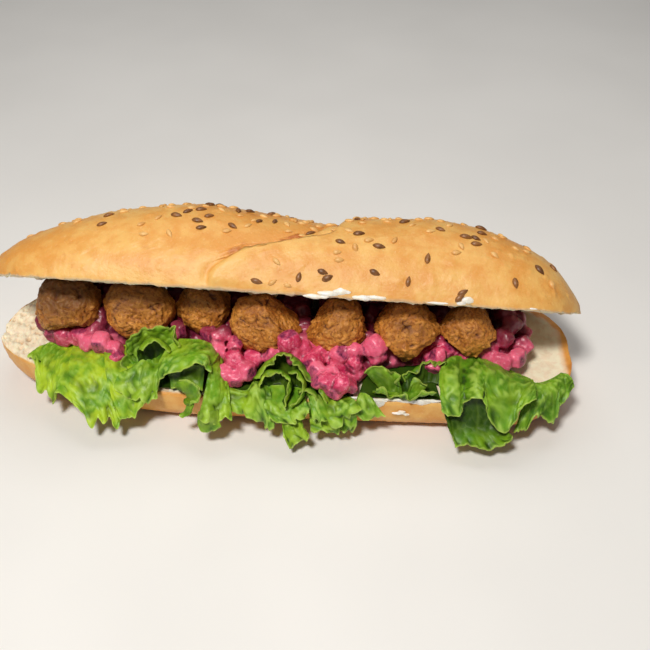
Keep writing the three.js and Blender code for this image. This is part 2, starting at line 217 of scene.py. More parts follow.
def make_piece(name, points, faces, finish):
    """A smooth-shaded object from points in millimetres and arrays of faces."""
    mesh = bpy.data.meshes.new(name)
    mesh.vertices.add(len(points))
    mesh.vertices.foreach_set("co", (np.asarray(points) * MM).ravel())
    corners = np.concatenate([np.asarray(block).ravel() for block in faces])
    sizes = np.concatenate([np.full(len(block), np.shape(block)[1]) for block in faces])
    mesh.loops.add(len(corners))
    mesh.loops.foreach_set("vertex_index", corners)
    mesh.polygons.add(len(sizes))
    mesh.polygons.foreach_set("loop_start", np.concatenate([[0], np.cumsum(sizes)[:-1]]))
    mesh.polygons.foreach_set("use_smooth", np.ones(len(sizes), dtype=bool))
    mesh.update(calc_edges=True)
    mesh.validate()
    piece = bpy.data.objects.new(name, mesh)
    bpy.context.scene.collection.objects.link(piece)
    mesh.materials.append(finish)
    return piece


def places_of(piece):
    flat = np.empty(len(piece.data.vertices) * 3, dtype=np.float32)
    piece.data.vertices.foreach_get("co", flat)
    return flat.reshape(-1, 3).astype(float) / MM


def normals_of(piece):
    flat = np.empty(len(piece.data.vertices) * 3, dtype=np.float32)
    piece.data.vertex_normals.foreach_get("vector", flat)
    return flat.reshape(-1, 3).astype(float)


def move_to(piece, points):
    piece.data.vertices.foreach_set("co", (points * MM).ravel())
    piece.data.update()


def paint(piece, name, values):
    """Keeps a value from 0 to 1 at every point, for the piece's material to read."""
    layer = piece.data.attributes.new(name, "FLOAT", "POINT")
    layer.data.foreach_set("value", np.clip(values, 0, 1).astype(np.float32))


def sheet_faces(rows, columns, first=0):
    """The faces of a grid of points that is stored row after row."""
    corner = first + np.arange(rows - 1)[:, None] * columns + np.arange(columns - 1)[None, :]
    corner = corner.ravel()
    return np.stack([corner, corner + columns, corner + columns + 1, corner + 1], axis=1)


def tube_faces(rings, around):
    """The faces of a closed tube of rings, and of a fan at each end that meets in one point."""
    start = np.arange(rings - 1)[:, None] * around
    here = np.arange(around)[None, :]
    after = (here + 1) % around
    quads = np.stack([start + here, start + after, start + around + after, start + around + here], -1)
    here = here.ravel()
    after = after.ravel()
    last = (rings - 1) * around
    first_cap = np.stack([after, here, np.full(around, rings * around)], axis=1)
    last_cap = np.stack([last + here, last + after, np.full(around, rings * around + 1)], axis=1)
    return [quads.reshape(-1, 4), first_cap, last_cap]


def with_end_points(rings):
    """A tube's points, and the middle of its first and last ring, where the end fans meet."""
    ends = [[rings[0].mean(axis=0)], [rings[-1].mean(axis=0)]]
    return np.concatenate([rings.reshape(-1, 3), *ends])


def border(rows, columns):
    """The way once round the edge of a grid of points, and the same way one step further on."""
    edge = np.concatenate([
        np.arange(columns),
        np.arange(1, rows) * columns + columns - 1,
        (rows - 1) * columns + np.arange(columns - 2, -1, -1),
        np.arange(rows - 2, 0, -1) * columns,
    ])
    return edge, np.roll(edge, -1)


def normals_over(surface):
    """The normal at every point of a grid."""
    normal = np.cross(np.gradient(surface, axis=1), np.gradient(surface, axis=0))
    return normal / np.maximum(np.linalg.norm(normal, axis=-1, keepdims=True), 1e-9)


def dress(piece, slot, *nodes):
    """The piece belongs to the sandwich, and stands for these solids."""
    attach(piece, "root")
    if nodes:
        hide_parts(*nodes)


# ---- Materials ----


class Finish:
    """A short way to write a material's nodes. Sizes and depths are in millimetres."""

    def __init__(self, name):
        self.material = bpy.data.materials.new(name)
        self.material.use_nodes = True
        self.tree = self.material.node_tree
        self.shader = next(n for n in self.tree.nodes if n.type == "BSDF_PRINCIPLED")
        self.place = self.tree.nodes.new("ShaderNodeTexCoord").outputs["Object"]

    def link(self, source, target):
        """Sets a socket to a number or a colour, or links another socket to it."""
        if isinstance(source, (int, float)):
            target.default_value = source
        elif isinstance(source, tuple):
            target.default_value = (*source, 1)
        else:
            self.tree.links.new(source, target)

    def node(self, kind, **sockets):
        node = self.tree.nodes.new("ShaderNode" + kind)
        for name, source in sockets.items():
            self.link(source, node.inputs[name.replace("_", " ")])
        return node

    def painted(self, name):
        """A value that was painted on the piece's points."""
        node = self.node("Attribute")
        node.attribute_name = name
        return node.outputs["Fac"]

    def noise(self, size, detail=3, roughness=0.55):
        scale = 1 / (size * MM)
        node = self.node("TexNoise", Scale=scale, Detail=detail, Roughness=roughness, Vector=self.place)
        return node.outputs["Fac"]

    def ramp(self, value, low, high, to_low=0.0, to_high=1.0):
        """Turns values from `low` to `high` into values from `to_low` to `to_high`, eased."""
        node = self.node(
            "MapRange", Value=value, From_Min=low, From_Max=high, To_Min=to_low, To_Max=to_high
        )
        node.interpolation_type = "SMOOTHSTEP"
        return node.outputs["Result"]

    def maths(self, operation, a, b):
        node = self.node("Math")
        node.operation = operation
        self.link(a, node.inputs[0])
        self.link(b, node.inputs[1])
        return node.outputs["Value"]

    def patches(self, size, detail, low, high, strength=1.0):
        """Soft patches of this size: none where the noise is at `low`, in full at `high`."""
        return self.ramp(self.noise(size, detail), low, high, 0, strength)

    def partly(self, name, strength):
        """A painted value, weakened."""
        return self.maths("MULTIPLY", self.painted(name), strength)

    def mix(self, share, below, above):
        """The colour `below`, covered by the colour `above` as far as the share says."""
        node = self.node("Mix")
        node.data_type = "RGBA"
        factor, colour_a, colour_b, mixed = 0, 6, 7, 2
        self.link(share, node.inputs[factor])
        self.link(below, node.inputs[colour_a])
        self.link(above, node.inputs[colour_b])
        return node.outputs[mixed]

    def bump(self, height, depth, under=None):
        node = self.node("Bump", Distance=depth * MM, Height=height)
        if under is not None:
            self.link(under, node.inputs["Normal"])
        return node.outputs["Normal"]

    def done(self, colour, roughness, normal=None, **sockets):
        self.link(colour, self.shader.inputs["Base Color"])
        self.link(roughness, self.shader.inputs["Roughness"])
        if normal is not None:
            self.link(normal, self.shader.inputs["Normal"])
        for name, value in sockets.items():
            self.shader.inputs[name.replace("_", " ")].default_value = value
        return self.material


def seen(red, green, blue):
    """A colour given as it looks on a screen, from 0 to 255, as the shader wants it."""
    shares = np.array([red, green, blue]) / 255
    bright = ((shares + 0.055) / 1.055) ** 2.4
    return tuple(float(v) for v in np.where(shares <= 0.04045, shares / 12.92, bright))


def bread_finish(settings):
    """Crust outside and crumb inside, made once for both halves."""
    name = "baked crust and crumb"
    if name in bpy.data.materials:
        return bpy.data.materials[name]
    pale = tuple(settings.pale_crust)
    golden = tuple(settings.golden_crust)
    dark = tuple(settings.dark_crust)
    soft = tuple(settings.crumb)
    floured = seen(255, 226, 170)
    freckled = seen(205, 124, 52)
    creamy = seen(249, 230, 200)
    shaded = seen(190, 142, 94)
    finish = Finish(name)
    bake = finish.painted("bake")
    crumb = finish.painted("crumb")
    mottle = finish.noise(7, 4)
    grain = finish.noise(0.9, 3)
    toast = finish.maths("ADD", bake, finish.ramp(mottle, 0.3, 0.7, -0.14, 0.14))
    crust = finish.mix(finish.ramp(toast, 0.1, 0.55), pale, golden)
    crust = finish.mix(finish.ramp(toast, 0.55, 1.0), crust, dark)
    crust = finish.mix(finish.ramp(grain, 0.56, 0.75, 0, 0.22), crust, floured)
    crust = finish.mix(finish.patches(2.2, 2, 0.6, 0.78, 0.3), crust, freckled)
    inside = finish.mix(finish.patches(2.6, 4, 0.35, 0.6), creamy, soft)
    # Painted shade: the open pores of the crumb are darker.
    inside = finish.mix(finish.partly("pore", 0.7), inside, shaded)
    colour = finish.mix(crumb, crust, inside)
    roughness = finish.ramp(crumb, 0, 1, 0.42, 0.9)
    skin = finish.bump(finish.noise(1.3, 4, 0.6), 0.2)
    skin = finish.bump(finish.noise(0.35, 2), 0.06, skin)
    return finish.done(
        colour, roughness, skin, Specular_IOR_Level=0.42, Subsurface_Weight=0.08,
        Subsurface_Radius=(0.004, 0.002, 0.001), Subsurface_Scale=0.5,
    )


def meat_finish(settings):
    burnt = seen(112, 72, 26)
    glint_highlight = seen(240, 172, 92)
    grain_shade = seen(120, 60, 16)
    finish = Finish("fried meat")
    patch = finish.noise(3.5, 3)
    grain = finish.noise(1.1, 4, 0.65)
    colour = finish.mix(finish.ramp(patch, 0.35, 0.65), tuple(settings.brown), tuple(settings.golden))
    # The painted value dark holds burnt patches, and also painted shadow of the lid over the balls' tops,
    # in the burnt colour.
    colour = finish.mix(finish.painted("dark"), colour, burnt)
    # Painted highlight: golden glints on the raised parts of the skin.
    glint = finish.maths("MULTIPLY", finish.painted("raised"), finish.ramp(grain, 0.4, 0.65))
    colour = finish.mix(glint, colour, glint_highlight)
    # Painted shade in the small dips of the grain that the bump shows.
    colour = finish.mix(finish.ramp(grain, 0.5, 0.36, 0, 0.7), colour, grain_shade)
    # Painted shade deep in the cracks and along the net of gaps in the skin.
    colour = finish.mix(finish.painted("pit"), colour, tuple(settings.fissure_shade))
    skin = finish.bump(grain, 0.5)
    return finish.done(colour, finish.ramp(grain, 0.3, 0.7, 0.6, 0.36), skin, Specular_IOR_Level=0.45)


def salad_finish(settings):
    creamy = seen(255, 164, 186)
    cut_beet = seen(178, 70, 112)
    shaded = seen(92, 10, 32)
    finish = Finish("beetroot in pink dressing")
    bare = finish.painted("bare")
    thin = finish.maths("MULTIPLY", finish.patches(2.4, 3, 0.3, 0.55), finish.painted("tone"))
    pink = finish.mix(thin, tuple(settings.pink), tuple(settings.deep_pink))
    pink = finish.mix(finish.patches(1.3, 3, 0.54, 0.7, 0.6), pink, creamy)
    flesh = finish.mix(finish.patches(1.1, 3, 0.4, 0.6), tuple(settings.flesh), cut_beet)
    colour = finish.mix(bare, pink, flesh)
    # Painted shade: the colour shaded darkens the gaps between dice, the dice behind and under the
    # meatballs, and those under the lid.
    colour = finish.mix(finish.partly("gap", 0.85), colour, shaded)
    skin = finish.bump(finish.noise(1.1, 3), 0.28)
    return finish.done(
        colour, 0.34, skin, Specular_IOR_Level=0.5, Subsurface_Weight=0.2,
        Subsurface_Radius=(0.004, 0.0012, 0.0014), Subsurface_Scale=0.6,
        Coat_Weight=0.15, Coat_Roughness=0.15,
    )


def leaf_finish(settings):
    dark = tuple(settings.dark_green)
    green = tuple(settings.green)
    fold_shade_green = seen(26, 54, 4)
    highlight_green = seen(190, 222, 100)
    vein_green = seen(172, 204, 66)
    rim_green = seen(200, 224, 102)
    finish = Finish("lettuce leaf")
    young = finish.painted("young")
    deep = finish.mix(finish.patches(9, 2, 0.35, 0.65), dark, green)
    fresh = finish.mix(finish.patches(8, 2, 0.35, 0.65), green, tuple(settings.young_green))
    colour = finish.mix(young, deep, fresh)
    # Painted shade in the folds, the hollows and under the hoods, and all over the beds under the salad.
    colour = finish.mix(finish.partly("fold", 0.88), colour, fold_shade_green)
    # Painted highlight on the crests.
    colour = finish.mix(finish.partly("crest", 0.5), colour, highlight_green)
    colour = finish.mix(finish.partly("vein", 0.35), colour, vein_green)
    colour = finish.mix(finish.partly("rim", 0.65), colour, rim_green)
    skin = finish.bump(finish.noise(0.8, 3), 0.09)
    return finish.done(
        colour, finish.ramp(finish.noise(2.5), 0.3, 0.7, 0.38, 0.55), skin,
        Specular_IOR_Level=0.36, Subsurface_Weight=0.12,
        Subsurface_Radius=(0.0012, 0.0016, 0.0005), Subsurface_Scale=0.5,
    )


def seed_finish(name, dark, light, fleck_size, roughness):
    finish = Finish(name)
    own = finish.painted("shade")
    fleck = finish.patches(fleck_size, 3, 0.35, 0.7)
    colour = finish.mix(finish.maths("MULTIPLY", finish.maths("ADD", fleck, own), 0.5), dark, light)
    skin = finish.bump(finish.noise(0.5, 2), 0.04)
    return finish.done(colour, roughness, skin, Specular_IOR_Level=0.55)


def spread_finish():
    buttery = seen(244, 232, 212)
    white = seen(255, 252, 246)
    finish = Finish("white spread")
    colour = finish.mix(finish.patches(2.5, 3, 0.35, 0.7), buttery, white)
    skin = finish.bump(finish.noise(1.4, 3), 0.12)
    return finish.done(
        colour, 0.32, skin, Subsurface_Weight=0.3, Subsurface_Radius=(0.003, 0.0025, 0.002),
        Subsurface_Scale=0.5,
    )


# ---- The bread ----


def taper(from_tip, rounding_off):
    """How wide the loaf is near a tip, as a share of its full width."""
    length, bluntness = rounding_off
    inwards = np.clip(np.maximum(from_tip, TIP_INSET) / length, 0, 1)
    return (1 - (1 - inwards) ** bluntness) ** (1 / bluntness)


def rounding(x, tips):
    """The share of the full width or height that is left at x, with both tips rounded off."""
    left, right = tips
    return taper(LOAF_LENGTH / 2 + x, left) * taper(LOAF_LENGTH / 2 - x, right)


def lower_front(x):
    return -LOAF_HALF_WIDTH * rounding(x, LOWER_FRONT_PLAN)


def lower_back(x):
    return LOAF_HALF_WIDTH * rounding(x, LOWER_BACK_PLAN)


def cut_height(y):
    """The cut between the halves rises a little towards the back."""
    return LOWER_HEIGHT + CUT_RISE * y / LOAF_HALF_WIDTH


def stations(count):
    """Places along the loaf, closer together towards its tips."""
    half = LOAF_LENGTH / 2 - TIP_INSET
    share = np.linspace(0, 1, count)
    return half * (0.4 * (2 * share - 1) - 0.6 * np.cos(np.pi * share))


def slash_place(turn):
    """Where the slash lies along the loaf at this turn up from the front rim."""
    bent = blend(SLASH_FRONT, SLASH_RIDGE, smooth_step(turn, *SLASH_BEND))
    return bent + SLASH_SLANT * np.maximum(turn - SLASH_BEND[1], 0)


def crease_place(turn):
    turns, places = zip(*CREASE)
    return blend(np.interp(turn, turns, places), slash_place(turn), smooth_step(turn, 1.15, 1.4))


def beside_crease(x, turn):
    """How far right of the crease, measured square to it."""
    crust_radius = 35
    step = 0.03
    slope = (crease_place(turn + step) - crease_place(turn - step)) / (2 * step) / crust_radius
    return (x - crease_place(turn)) / np.sqrt(1 + slope**2)


def slash_drop(x, turn):
    """How much of its height the crust loses beside the slash."""
    beside = x - slash_place(turn)
    left, right = (
        drop * np.clip(1 - np.abs(beside) / width, 0, 1) for drop, width in (SLASH_LEFT, SLASH_RIGHT)
    )
    at_the_rim = 0.25
    return np.where(beside < 0, left, right) * blend(at_the_rim, 1, smooth_step(turn, *SLASH_BEND))


def slant(middle):
    """How far the rings follow the slash: wholly in the middle, and not at all at the tips."""
    return (1 - (2 * middle / LOAF_LENGTH) ** 2) ** 2


def crust_point(middle, turn):
    """A point of the upper crust before it is tipped up."""
    x = middle + slant(middle) * slash_place(turn)
    across = -np.sign(np.cos(turn)) * np.abs(np.cos(turn)) ** (2 / UPPER_SECTION)
    y = LOAF_HALF_WIDTH * rounding(x, UPPER_PLAN) * across - LOAF_HALF_WIDTH
    height = UPPER_HEIGHT * rounding(x, UPPER_PROFILE) * (1 - slash_drop(x, turn))
    z = height * np.abs(np.sin(turn)) ** (2 / UPPER_SECTION)
    return np.stack([x, y, z], axis=-1)


def lid_matrix():
    """The upper half's place and turn: it is tipped up about its back rim."""
    place = Vector((0, LOAF_HALF_WIDTH - LID_SHIFT, cut_height(LOAF_HALF_WIDTH) + LID_LIFT))
    turn = Euler((0, 0, LID_YAW)).to_matrix() @ Euler((0, LID_ROLL, 0)).to_matrix()
    turn = turn @ Euler((-LID_TILT, 0, 0)).to_matrix()
    return Matrix.Translation(place) @ turn.to_4x4()


def tipped_up(points):
    """Points of the shut upper half, moved to where it lies tipped up."""
    turn = np.array(lid_matrix().to_3x3())
    return points @ turn.T + np.array(lid_matrix().translation)


def blisters(points, seed):
    """Low round bubbles and fine wrinkles of a thin crust, in millimetres."""
    swell = 0.5 * rough(points, 17, seed, 2)
    bubble = 0.35 * smooth_step(lumps(points, 3.4, seed + 5), 0.35, 0.85)
    return swell + bubble + 0.12 * rough(points, 1.9, seed + 9, 2)


def crumb_holes(points, seed, size=2.6):
    """How deep the open pores of the crumb go, from 0 to 1."""
    near, _ = cells_apart(points, size, seed)
    small, _ = cells_apart(points, size * 0.45, seed + 3)
    wide = smooth_step(lumps(points, 6, seed + 7), -0.2, 0.5)
    return np.clip(wide * smooth_step(near, 0.5, 0.15) + 0.5 * smooth_step(small, 0.45, 0.2), 0, 1)


def upper_rings(settings):
    """The upper half before it is tipped up: crust over the top, then crumb across the cut."""
    middles = stations(settings.rings)[:, None]
    turns = np.pi * (1 - np.arange(settings.crust_steps) / settings.crust_steps)[None, :]
    crust = crust_point(middles, turns)
    across = (np.arange(settings.crumb_steps) / settings.crumb_steps)[None, :]
    x = middles + slant(middles) * blend(slash_place(0.0), slash_place(np.pi), across)
    y = LOAF_HALF_WIDTH * rounding(x, UPPER_PLAN) * (2 * across - 1) - LOAF_HALF_WIDTH
    crumb = np.stack([x, y, np.zeros_like(x)], axis=-1)

    def all_over(crust_values, crumb_value):
        on_crust = crust_values * np.ones((settings.rings, settings.crust_steps))
        rest = np.full((settings.rings, settings.crumb_steps), float(crumb_value))
        flat = np.concatenate([on_crust, rest], axis=1).ravel()
        return np.concatenate([flat, [flat[0], flat[-1]]])

    far_away = 99
    points = with_end_points(np.concatenate([crust, crumb], axis=1))
    beside = all_over(beside_crease(crust[..., 0], turns), far_away)
    return points, all_over(turns, 0), beside, all_over(0 * turns, 1)


def slash_opening(turn):
    """The slash runs from just over the front rim to just over the back one."""
    return smooth_step(turn, 0.0, 0.1) * smooth_step(turn, 2.9, 2.2)


def slash_relief(points, turn, beside):
    """The slash: the crust on its right lies over a groove, with small torn peels along it."""
    lip = smooth_step(beside, -1.2, 1.0) * np.exp(-np.maximum(beside, 0) / LIP_RUN) * LIP_HEIGHT
    groove = -GROOVE_DEPTH * np.exp(-((beside + 1.4) / 1.9) ** 2)
    waver = 1 + 0.4 * lumps(points, 9, 31)
    torn = smooth_step(beside, -4, -2.5) * smooth_step(beside, 1.5, 0.3) * smooth_step(turn, 0.36, 0.46)
    torn = torn * smooth_step(turn, 1.0, 0.85)
    peel = smooth_step(rough(points * np.array([0.6, 1, 1.3]), 3.4, 41), 0.0, 0.12)
    return slash_opening(turn) * waver * (lip + groove), torn * peel


def frayed_edge(points):
    """How the cut edge of the lid rises and falls along the loaf."""
    lengthwise = points * np.array([1, 0.2, 0.2])
    fray = smooth_step(points[:, 2], 3, 0.0) * 0.8 * rough(lengthwise, 5.5, 71)
    notches = smooth_step(rough(lengthwise, 3.2, 73), 0.25, 0.8)
    return fray - smooth_step(points[:, 2], 1.5, 0.0) * 1.1 * notches


def upper_bake(points, turn, beside, on_crumb, peels):
    """How brown the upper crust is: the left tip, the slash and spots near the ridge most of all. The
    right tip is painted paler, as painted light.
    """
    x = points[:, 0]
    open_slash = slash_opening(turn)
    # The left tip is browner from baking; the right tip is made paler as painted light.
    ends = 0.26 * smooth_step(x, -72, -118) - 0.12 * smooth_step(x, 85, 110)
    ridge = smooth_step(turn, 0.9, 1.5) * (1 - on_crumb)
    bake = 0.3 + 0.1 * smooth_step(x, -60, -30) + ends - 0.04 * ridge + 0.16 * rough(points, 26, 81, 2)
    above_rim = smooth_step(turn, 0.2, 0.5)
    bake += 0.26 * peels + 0.16 * open_slash * above_rim * np.exp(-((beside + 1.2) / 1.3) ** 2)
    bake += 0.15 * open_slash * above_rim * np.where(beside < 0, np.exp(beside / 10), 0)
    bake -= 0.22 * open_slash * np.where(beside < 0, 0, np.exp(-beside / LIP_RUN))
    bake -= 0.1 * smooth_step(points[:, 2], 9, 1)
    near_top = smooth_step(turn, 2.5, 2.0) * smooth_step(np.abs(x), 112, 96)
    return bake + 0.4 * smooth_step(lumps(points, 7, 85), 0.25, 0.7) * ridge * near_top


def build_upper_half(settings, finish):
    points, turn, beside, on_crumb = upper_rings(settings)
    on_crust = 1 - on_crumb
    faces = tube_faces(settings.rings, settings.crust_steps + settings.crumb_steps)
    piece = make_piece("bread_upper_crust", points, faces, finish)
    outwards = normals_of(piece)
    amount, peels = slash_relief(points, turn, beside)
    amount += PEEL_HEIGHT * peels
    amount += blisters(points, 3) * on_crust
    ragged = smooth_step(points[:, 2], 2.2, 0.0) * (points[:, 1] < -LOAF_HALF_WIDTH)
    amount += ragged * on_crust * 0.6 * rough(points, 3.1, 51)
    holes = crumb_holes(points, 61)
    amount -= on_crumb * (1.1 * holes - 0.3 * rough(points, 5, 63))
    moved = points + outwards * amount[:, None]
    moved[:, 2] += frayed_edge(points)
    moved[:, 2] *= 1 - 0.2 * smooth_step(points[:, 0], 108, 122)
    move_to(piece, tipped_up(moved))

    paint(piece, "bake", upper_bake(points, turn, beside, on_crumb, peels))
    edge_line = smooth_step(points[:, 2] + 0.5 * lumps(points, 3.5, 87), 0.3, 0.0) * on_crust
    from_rim = points[:, 1] + LOAF_HALF_WIDTH * (1 + rounding(points[:, 0], UPPER_PLAN))
    toasted_rim = blend(0.4, 1, smooth_step(from_rim, 0, 1.5))
    paint(piece, "crumb", np.maximum(on_crumb * toasted_rim, edge_line * 0.3))
    # Painted shade in the pores of the crumb.
    paint(piece, "pore", on_crumb * holes)
    dress(piece, "crust", "bread_upper_half")
    return piece


def lower_rings(settings):
    """The lower half: crumb across the dished cut from back to front, then crust underneath."""
    x = stations(settings.rings)[:, None]
    back = lower_back(x)
    front = lower_front(x)
    share = (np.arange(settings.crumb_steps) / settings.crumb_steps)[None, :]
    y = blend(back, front, share)
    bowl = np.sin(np.pi * share) ** 0.8
    dish = (CRUMB_DISH + RIGHT_END_DISH * smooth_step(x, 84, 104)) * bowl * rounding(x, LOWER_PROFILE)
    crumb = np.stack([x + 0 * y, y, cut_height(y) - dish], axis=-1)
    turn = (np.pi * np.arange(settings.crust_steps) / settings.crust_steps)[None, :]
    side = np.abs(np.cos(turn)) ** (2 / LOWER_SECTION)
    y = side * np.where(turn < np.pi / 2, front, back)
    depth = (LOWER_HEIGHT + BASE_TRIM) * rounding(x, LOWER_PROFILE)
    z = np.maximum(cut_height(y) - depth * np.sin(turn) ** (2 / LOWER_SECTION), 0)
    crust = np.stack([x + 0 * y, y, z], axis=-1)
    from_edge = np.minimum(np.minimum(share, 1 - share) * (back - front), LOAF_LENGTH / 2 - x)
    inside_rim = np.zeros((settings.rings, settings.crumb_steps + settings.crust_steps))
    inside_rim[:, :settings.crumb_steps] = smooth_step(from_edge + 0.6 * np.sin(x), 2.4, 4.4)
    on_crumb = np.zeros_like(inside_rim)
    on_crumb[:, 1:settings.crumb_steps] = 1
    points = with_end_points(np.concatenate([crumb, crust], axis=1))
    ends = [0, 0]
    return points, np.append(inside_rim, ends), np.append(on_crumb, ends)


def build_lower_half(settings, finish):
    points, inside_rim, on_crumb = lower_rings(settings)
    faces = tube_faces(settings.rings, settings.crumb_steps + settings.crust_steps)
    piece = make_piece("bread_lower_crust", points, faces, finish)
    outwards = normals_of(piece)
    x = points[:, 0]
    height = points[:, 2]
    low = smooth_step(height, 3, 0.2)
    amount = (1 - on_crumb) * (1 - low) * 0.8 * blisters(points, 103)
    left = smooth_step(x, -70, -95)
    holes = crumb_holes(points, 105, 3.0)
    smear = smooth_step(x, 80, 92)
    amount -= on_crumb * (1 - smear) * holes * blend(0.9, 1.5, left)
    amount += on_crumb * (0.4 + 0.8 * left) * rough(points, 3.8, 107)
    moved = points + outwards * amount[:, None]
    rim = smooth_step(height, LOWER_HEIGHT - 3, LOWER_HEIGHT) * (1 - on_crumb)
    moved[:, 2] += rim * 0.5 * rough(points * np.array([1, 0.3, 0.2]), 4, 109)
    moved[:, 2] = np.maximum(moved[:, 2], 0)
    move_to(piece, moved)

    bake = 0.36 + 0.2 * rough(points, 24, 111, 2)
    bake += 0.45 * smooth_step(height, 9, 1) + 0.18 * smooth_step(np.abs(x), 96, 122)
    bake -= 0.18 * smooth_step(x, -60, -90) * smooth_step(height, 8, 17)
    bake += 0.2 * smooth_step(lumps(points, 7, 115), 0.3, 0.8)
    paint(piece, "bake", bake)
    paint(piece, "crumb", on_crumb * blend(1, inside_rim, smooth_step(x, 80, 95)))
    # Painted shade in the pores of the crumb, except where the spread lies.
    paint(piece, "pore", on_crumb * holes * (1 - smear))
    dress(piece, "crust", "bread_lower_half")
    return piece


# ---- Meatballs ----


def wobble(at, salt):
    """A slow uneven wave, another one for each salt."""
    return (
        0.5 * np.sin(at + salt * 1.7)
        + 0.3 * np.sin(at * 2.3 + salt * 4.1)
        + 0.2 * np.sin(at * 3.9 + salt * 2.3)
    )


def round_grid(steps):
    """Directions spread evenly over a ball as six square patches, with their faces."""
    line = np.tan(np.linspace(-np.pi / 4, np.pi / 4, steps))
    u, v = (a.ravel() for a in np.meshgrid(line, line, indexing="ij"))
    one = np.ones_like(u)
    patches = []
    for axis in range(3):
        for side in (1, -1):
            patch = np.empty((len(u), 3))
            patch[:, axis] = side * one
            patch[:, (axis + 1) % 3] = u * side
            patch[:, (axis + 2) % 3] = v
            patches.append(patch / np.linalg.norm(patch, axis=1, keepdims=True))
    points = np.concatenate(patches)
    faces = np.concatenate([sheet_faces(steps, steps, i * steps * steps) for i in range(6)])
    _, first, same = np.unique(np.round(points, 6), axis=0, return_index=True, return_inverse=True)
    return points[first], same.ravel()[faces]


def pressed_flat(way, flats):
    """How much of its radius the ball loses where it was pressed flat."""
    lost = np.zeros(len(way))
    for x, y, z, reach in flats:
        side = np.array((x, y, z)) / math.hypot(x, y, z)
        facing = np.maximum(way @ side, 0.05)
        lost = np.maximum(lost, 1 - reach / facing)
    return lost


def fried_skin(own, flattened, seed):
    """Skin as rough as a walnut's: how far it stands out, and the fine net of gaps in it, for painted
    shade.
    """
    bent = own + 0.9 * np.stack([lumps(own, 3.5, seed + salt) for salt in (1, 2, 3)], axis=1)
    near, second = cells_apart(bent, 4.4, seed + 4)
    plates = smooth_step(second - near, 0.0, 0.35)
    near, second = cells_apart(bent, 1.9, seed + 6)
    crumbs = smooth_step(second - near, 0.0, 0.35)
    cracks = smooth_step(np.abs(rough(bent, 7, seed + 8, 2)), 0.08, 0.0)
    cracks = cracks * smooth_step(lumps(own, 7, seed + 9), -0.05, 0.4)
    knobs = smooth_step(lumps(own, 3.0, seed + 10), 0.15, 0.8)
    amount = 0.14 * (plates - 0.8) + 0.12 * (crumbs - 0.7) + 0.7 * knobs - 0.9 * cracks
    amount += 0.75 * rough(bent, 4.4, seed + 11, 3) + 0.34 * rough(own, 1.4, seed + 12, 2)
    flat_edge = np.exp(-(((flattened - 0.035) / 0.02) ** 2))
    amount -= 0.6 * (flat_edge * smooth_step(lumps(own, 5, seed + 13), -0.4, 0.2))
    return amount, 0.16 * (1 - plates) + 0.1 * (1 - crumbs)


def build_meatball(index, settings, finish):
    at, radii, turn = MEATBALLS[index]
    way, faces = round_grid(settings.steps)
    lump = 0.035 * wobble(3.1 * way[:, 0] + 2.2 * way[:, 2], index)
    lump += 0.035 * wobble(3.7 * way[:, 1] - 1.9 * way[:, 0], index + 5)
    rotation = np.array(Euler((0, -turn, 0)).to_matrix() @ Euler((turn, 0, 0)).to_matrix())
    flattened = pressed_flat(way @ rotation.T, PRESSED[index])
    seed = 200 + 20 * index
    own = way * 13 + 40 * index
    size = (1 + lump + 0.07 * rough(own, 11, seed, 2)) * (1 - flattened)
    points = way * np.array(radii) * size[:, None]
    amount, gaps = fried_skin(own, flattened, seed)
    points = (points + way * amount[:, None]) @ rotation.T + np.array(at)
    piece = make_piece(f"meatball_{index + 1}_fried", points, [faces], finish)
    # Painted shade in the cracks and the net of gaps.
    paint(piece, "pit", smooth_step(amount, -0.3, -1.2) + gaps)
    # Painted shadow of the lid over the tops of the balls: the glints fade there.
    under_the_lid = smooth_step(points[:, 2], at[2] + 1, at[2] + 9)
    paint(piece, "raised", smooth_step(amount, -0.1, 0.7) * (1 - 0.8 * under_the_lid))
    # The painted value dark: burnt patches, the first ball darker all over (partly its own colour, partly
    # painted shade under the lid), and painted shadow on the tops under the lid.
    burnt = smooth_step(rough(own, 9, seed + 14, 2), 0.2, 0.7) * 0.35
    all_over = 0.35 if index == 0 else 0
    shade = 0.6 if index < 3 else 0.25
    paint(piece, "dark", burnt + all_over + shade * under_the_lid)
    dress(piece, "meat", f"meatball_{index + 1}")
    return piece


# ---- Beetroot salad ----

# Where the dice begin behind the open side: they keep clear of the leaves that stand up.
DICE_FRONT = (
    (-103, -5), (-92, -9), (-76, -15), (-66, -18), (-63, -6), (-40, -5), (-36, -16), (-28, -26),
    (-17, -31), (-12, -21), (-6, -17), (9, -18), (14, -30), (22, -37), (30, -34), (36, -22),
    (52, -17), (66, -15), (92, -15), (105, -12),
)

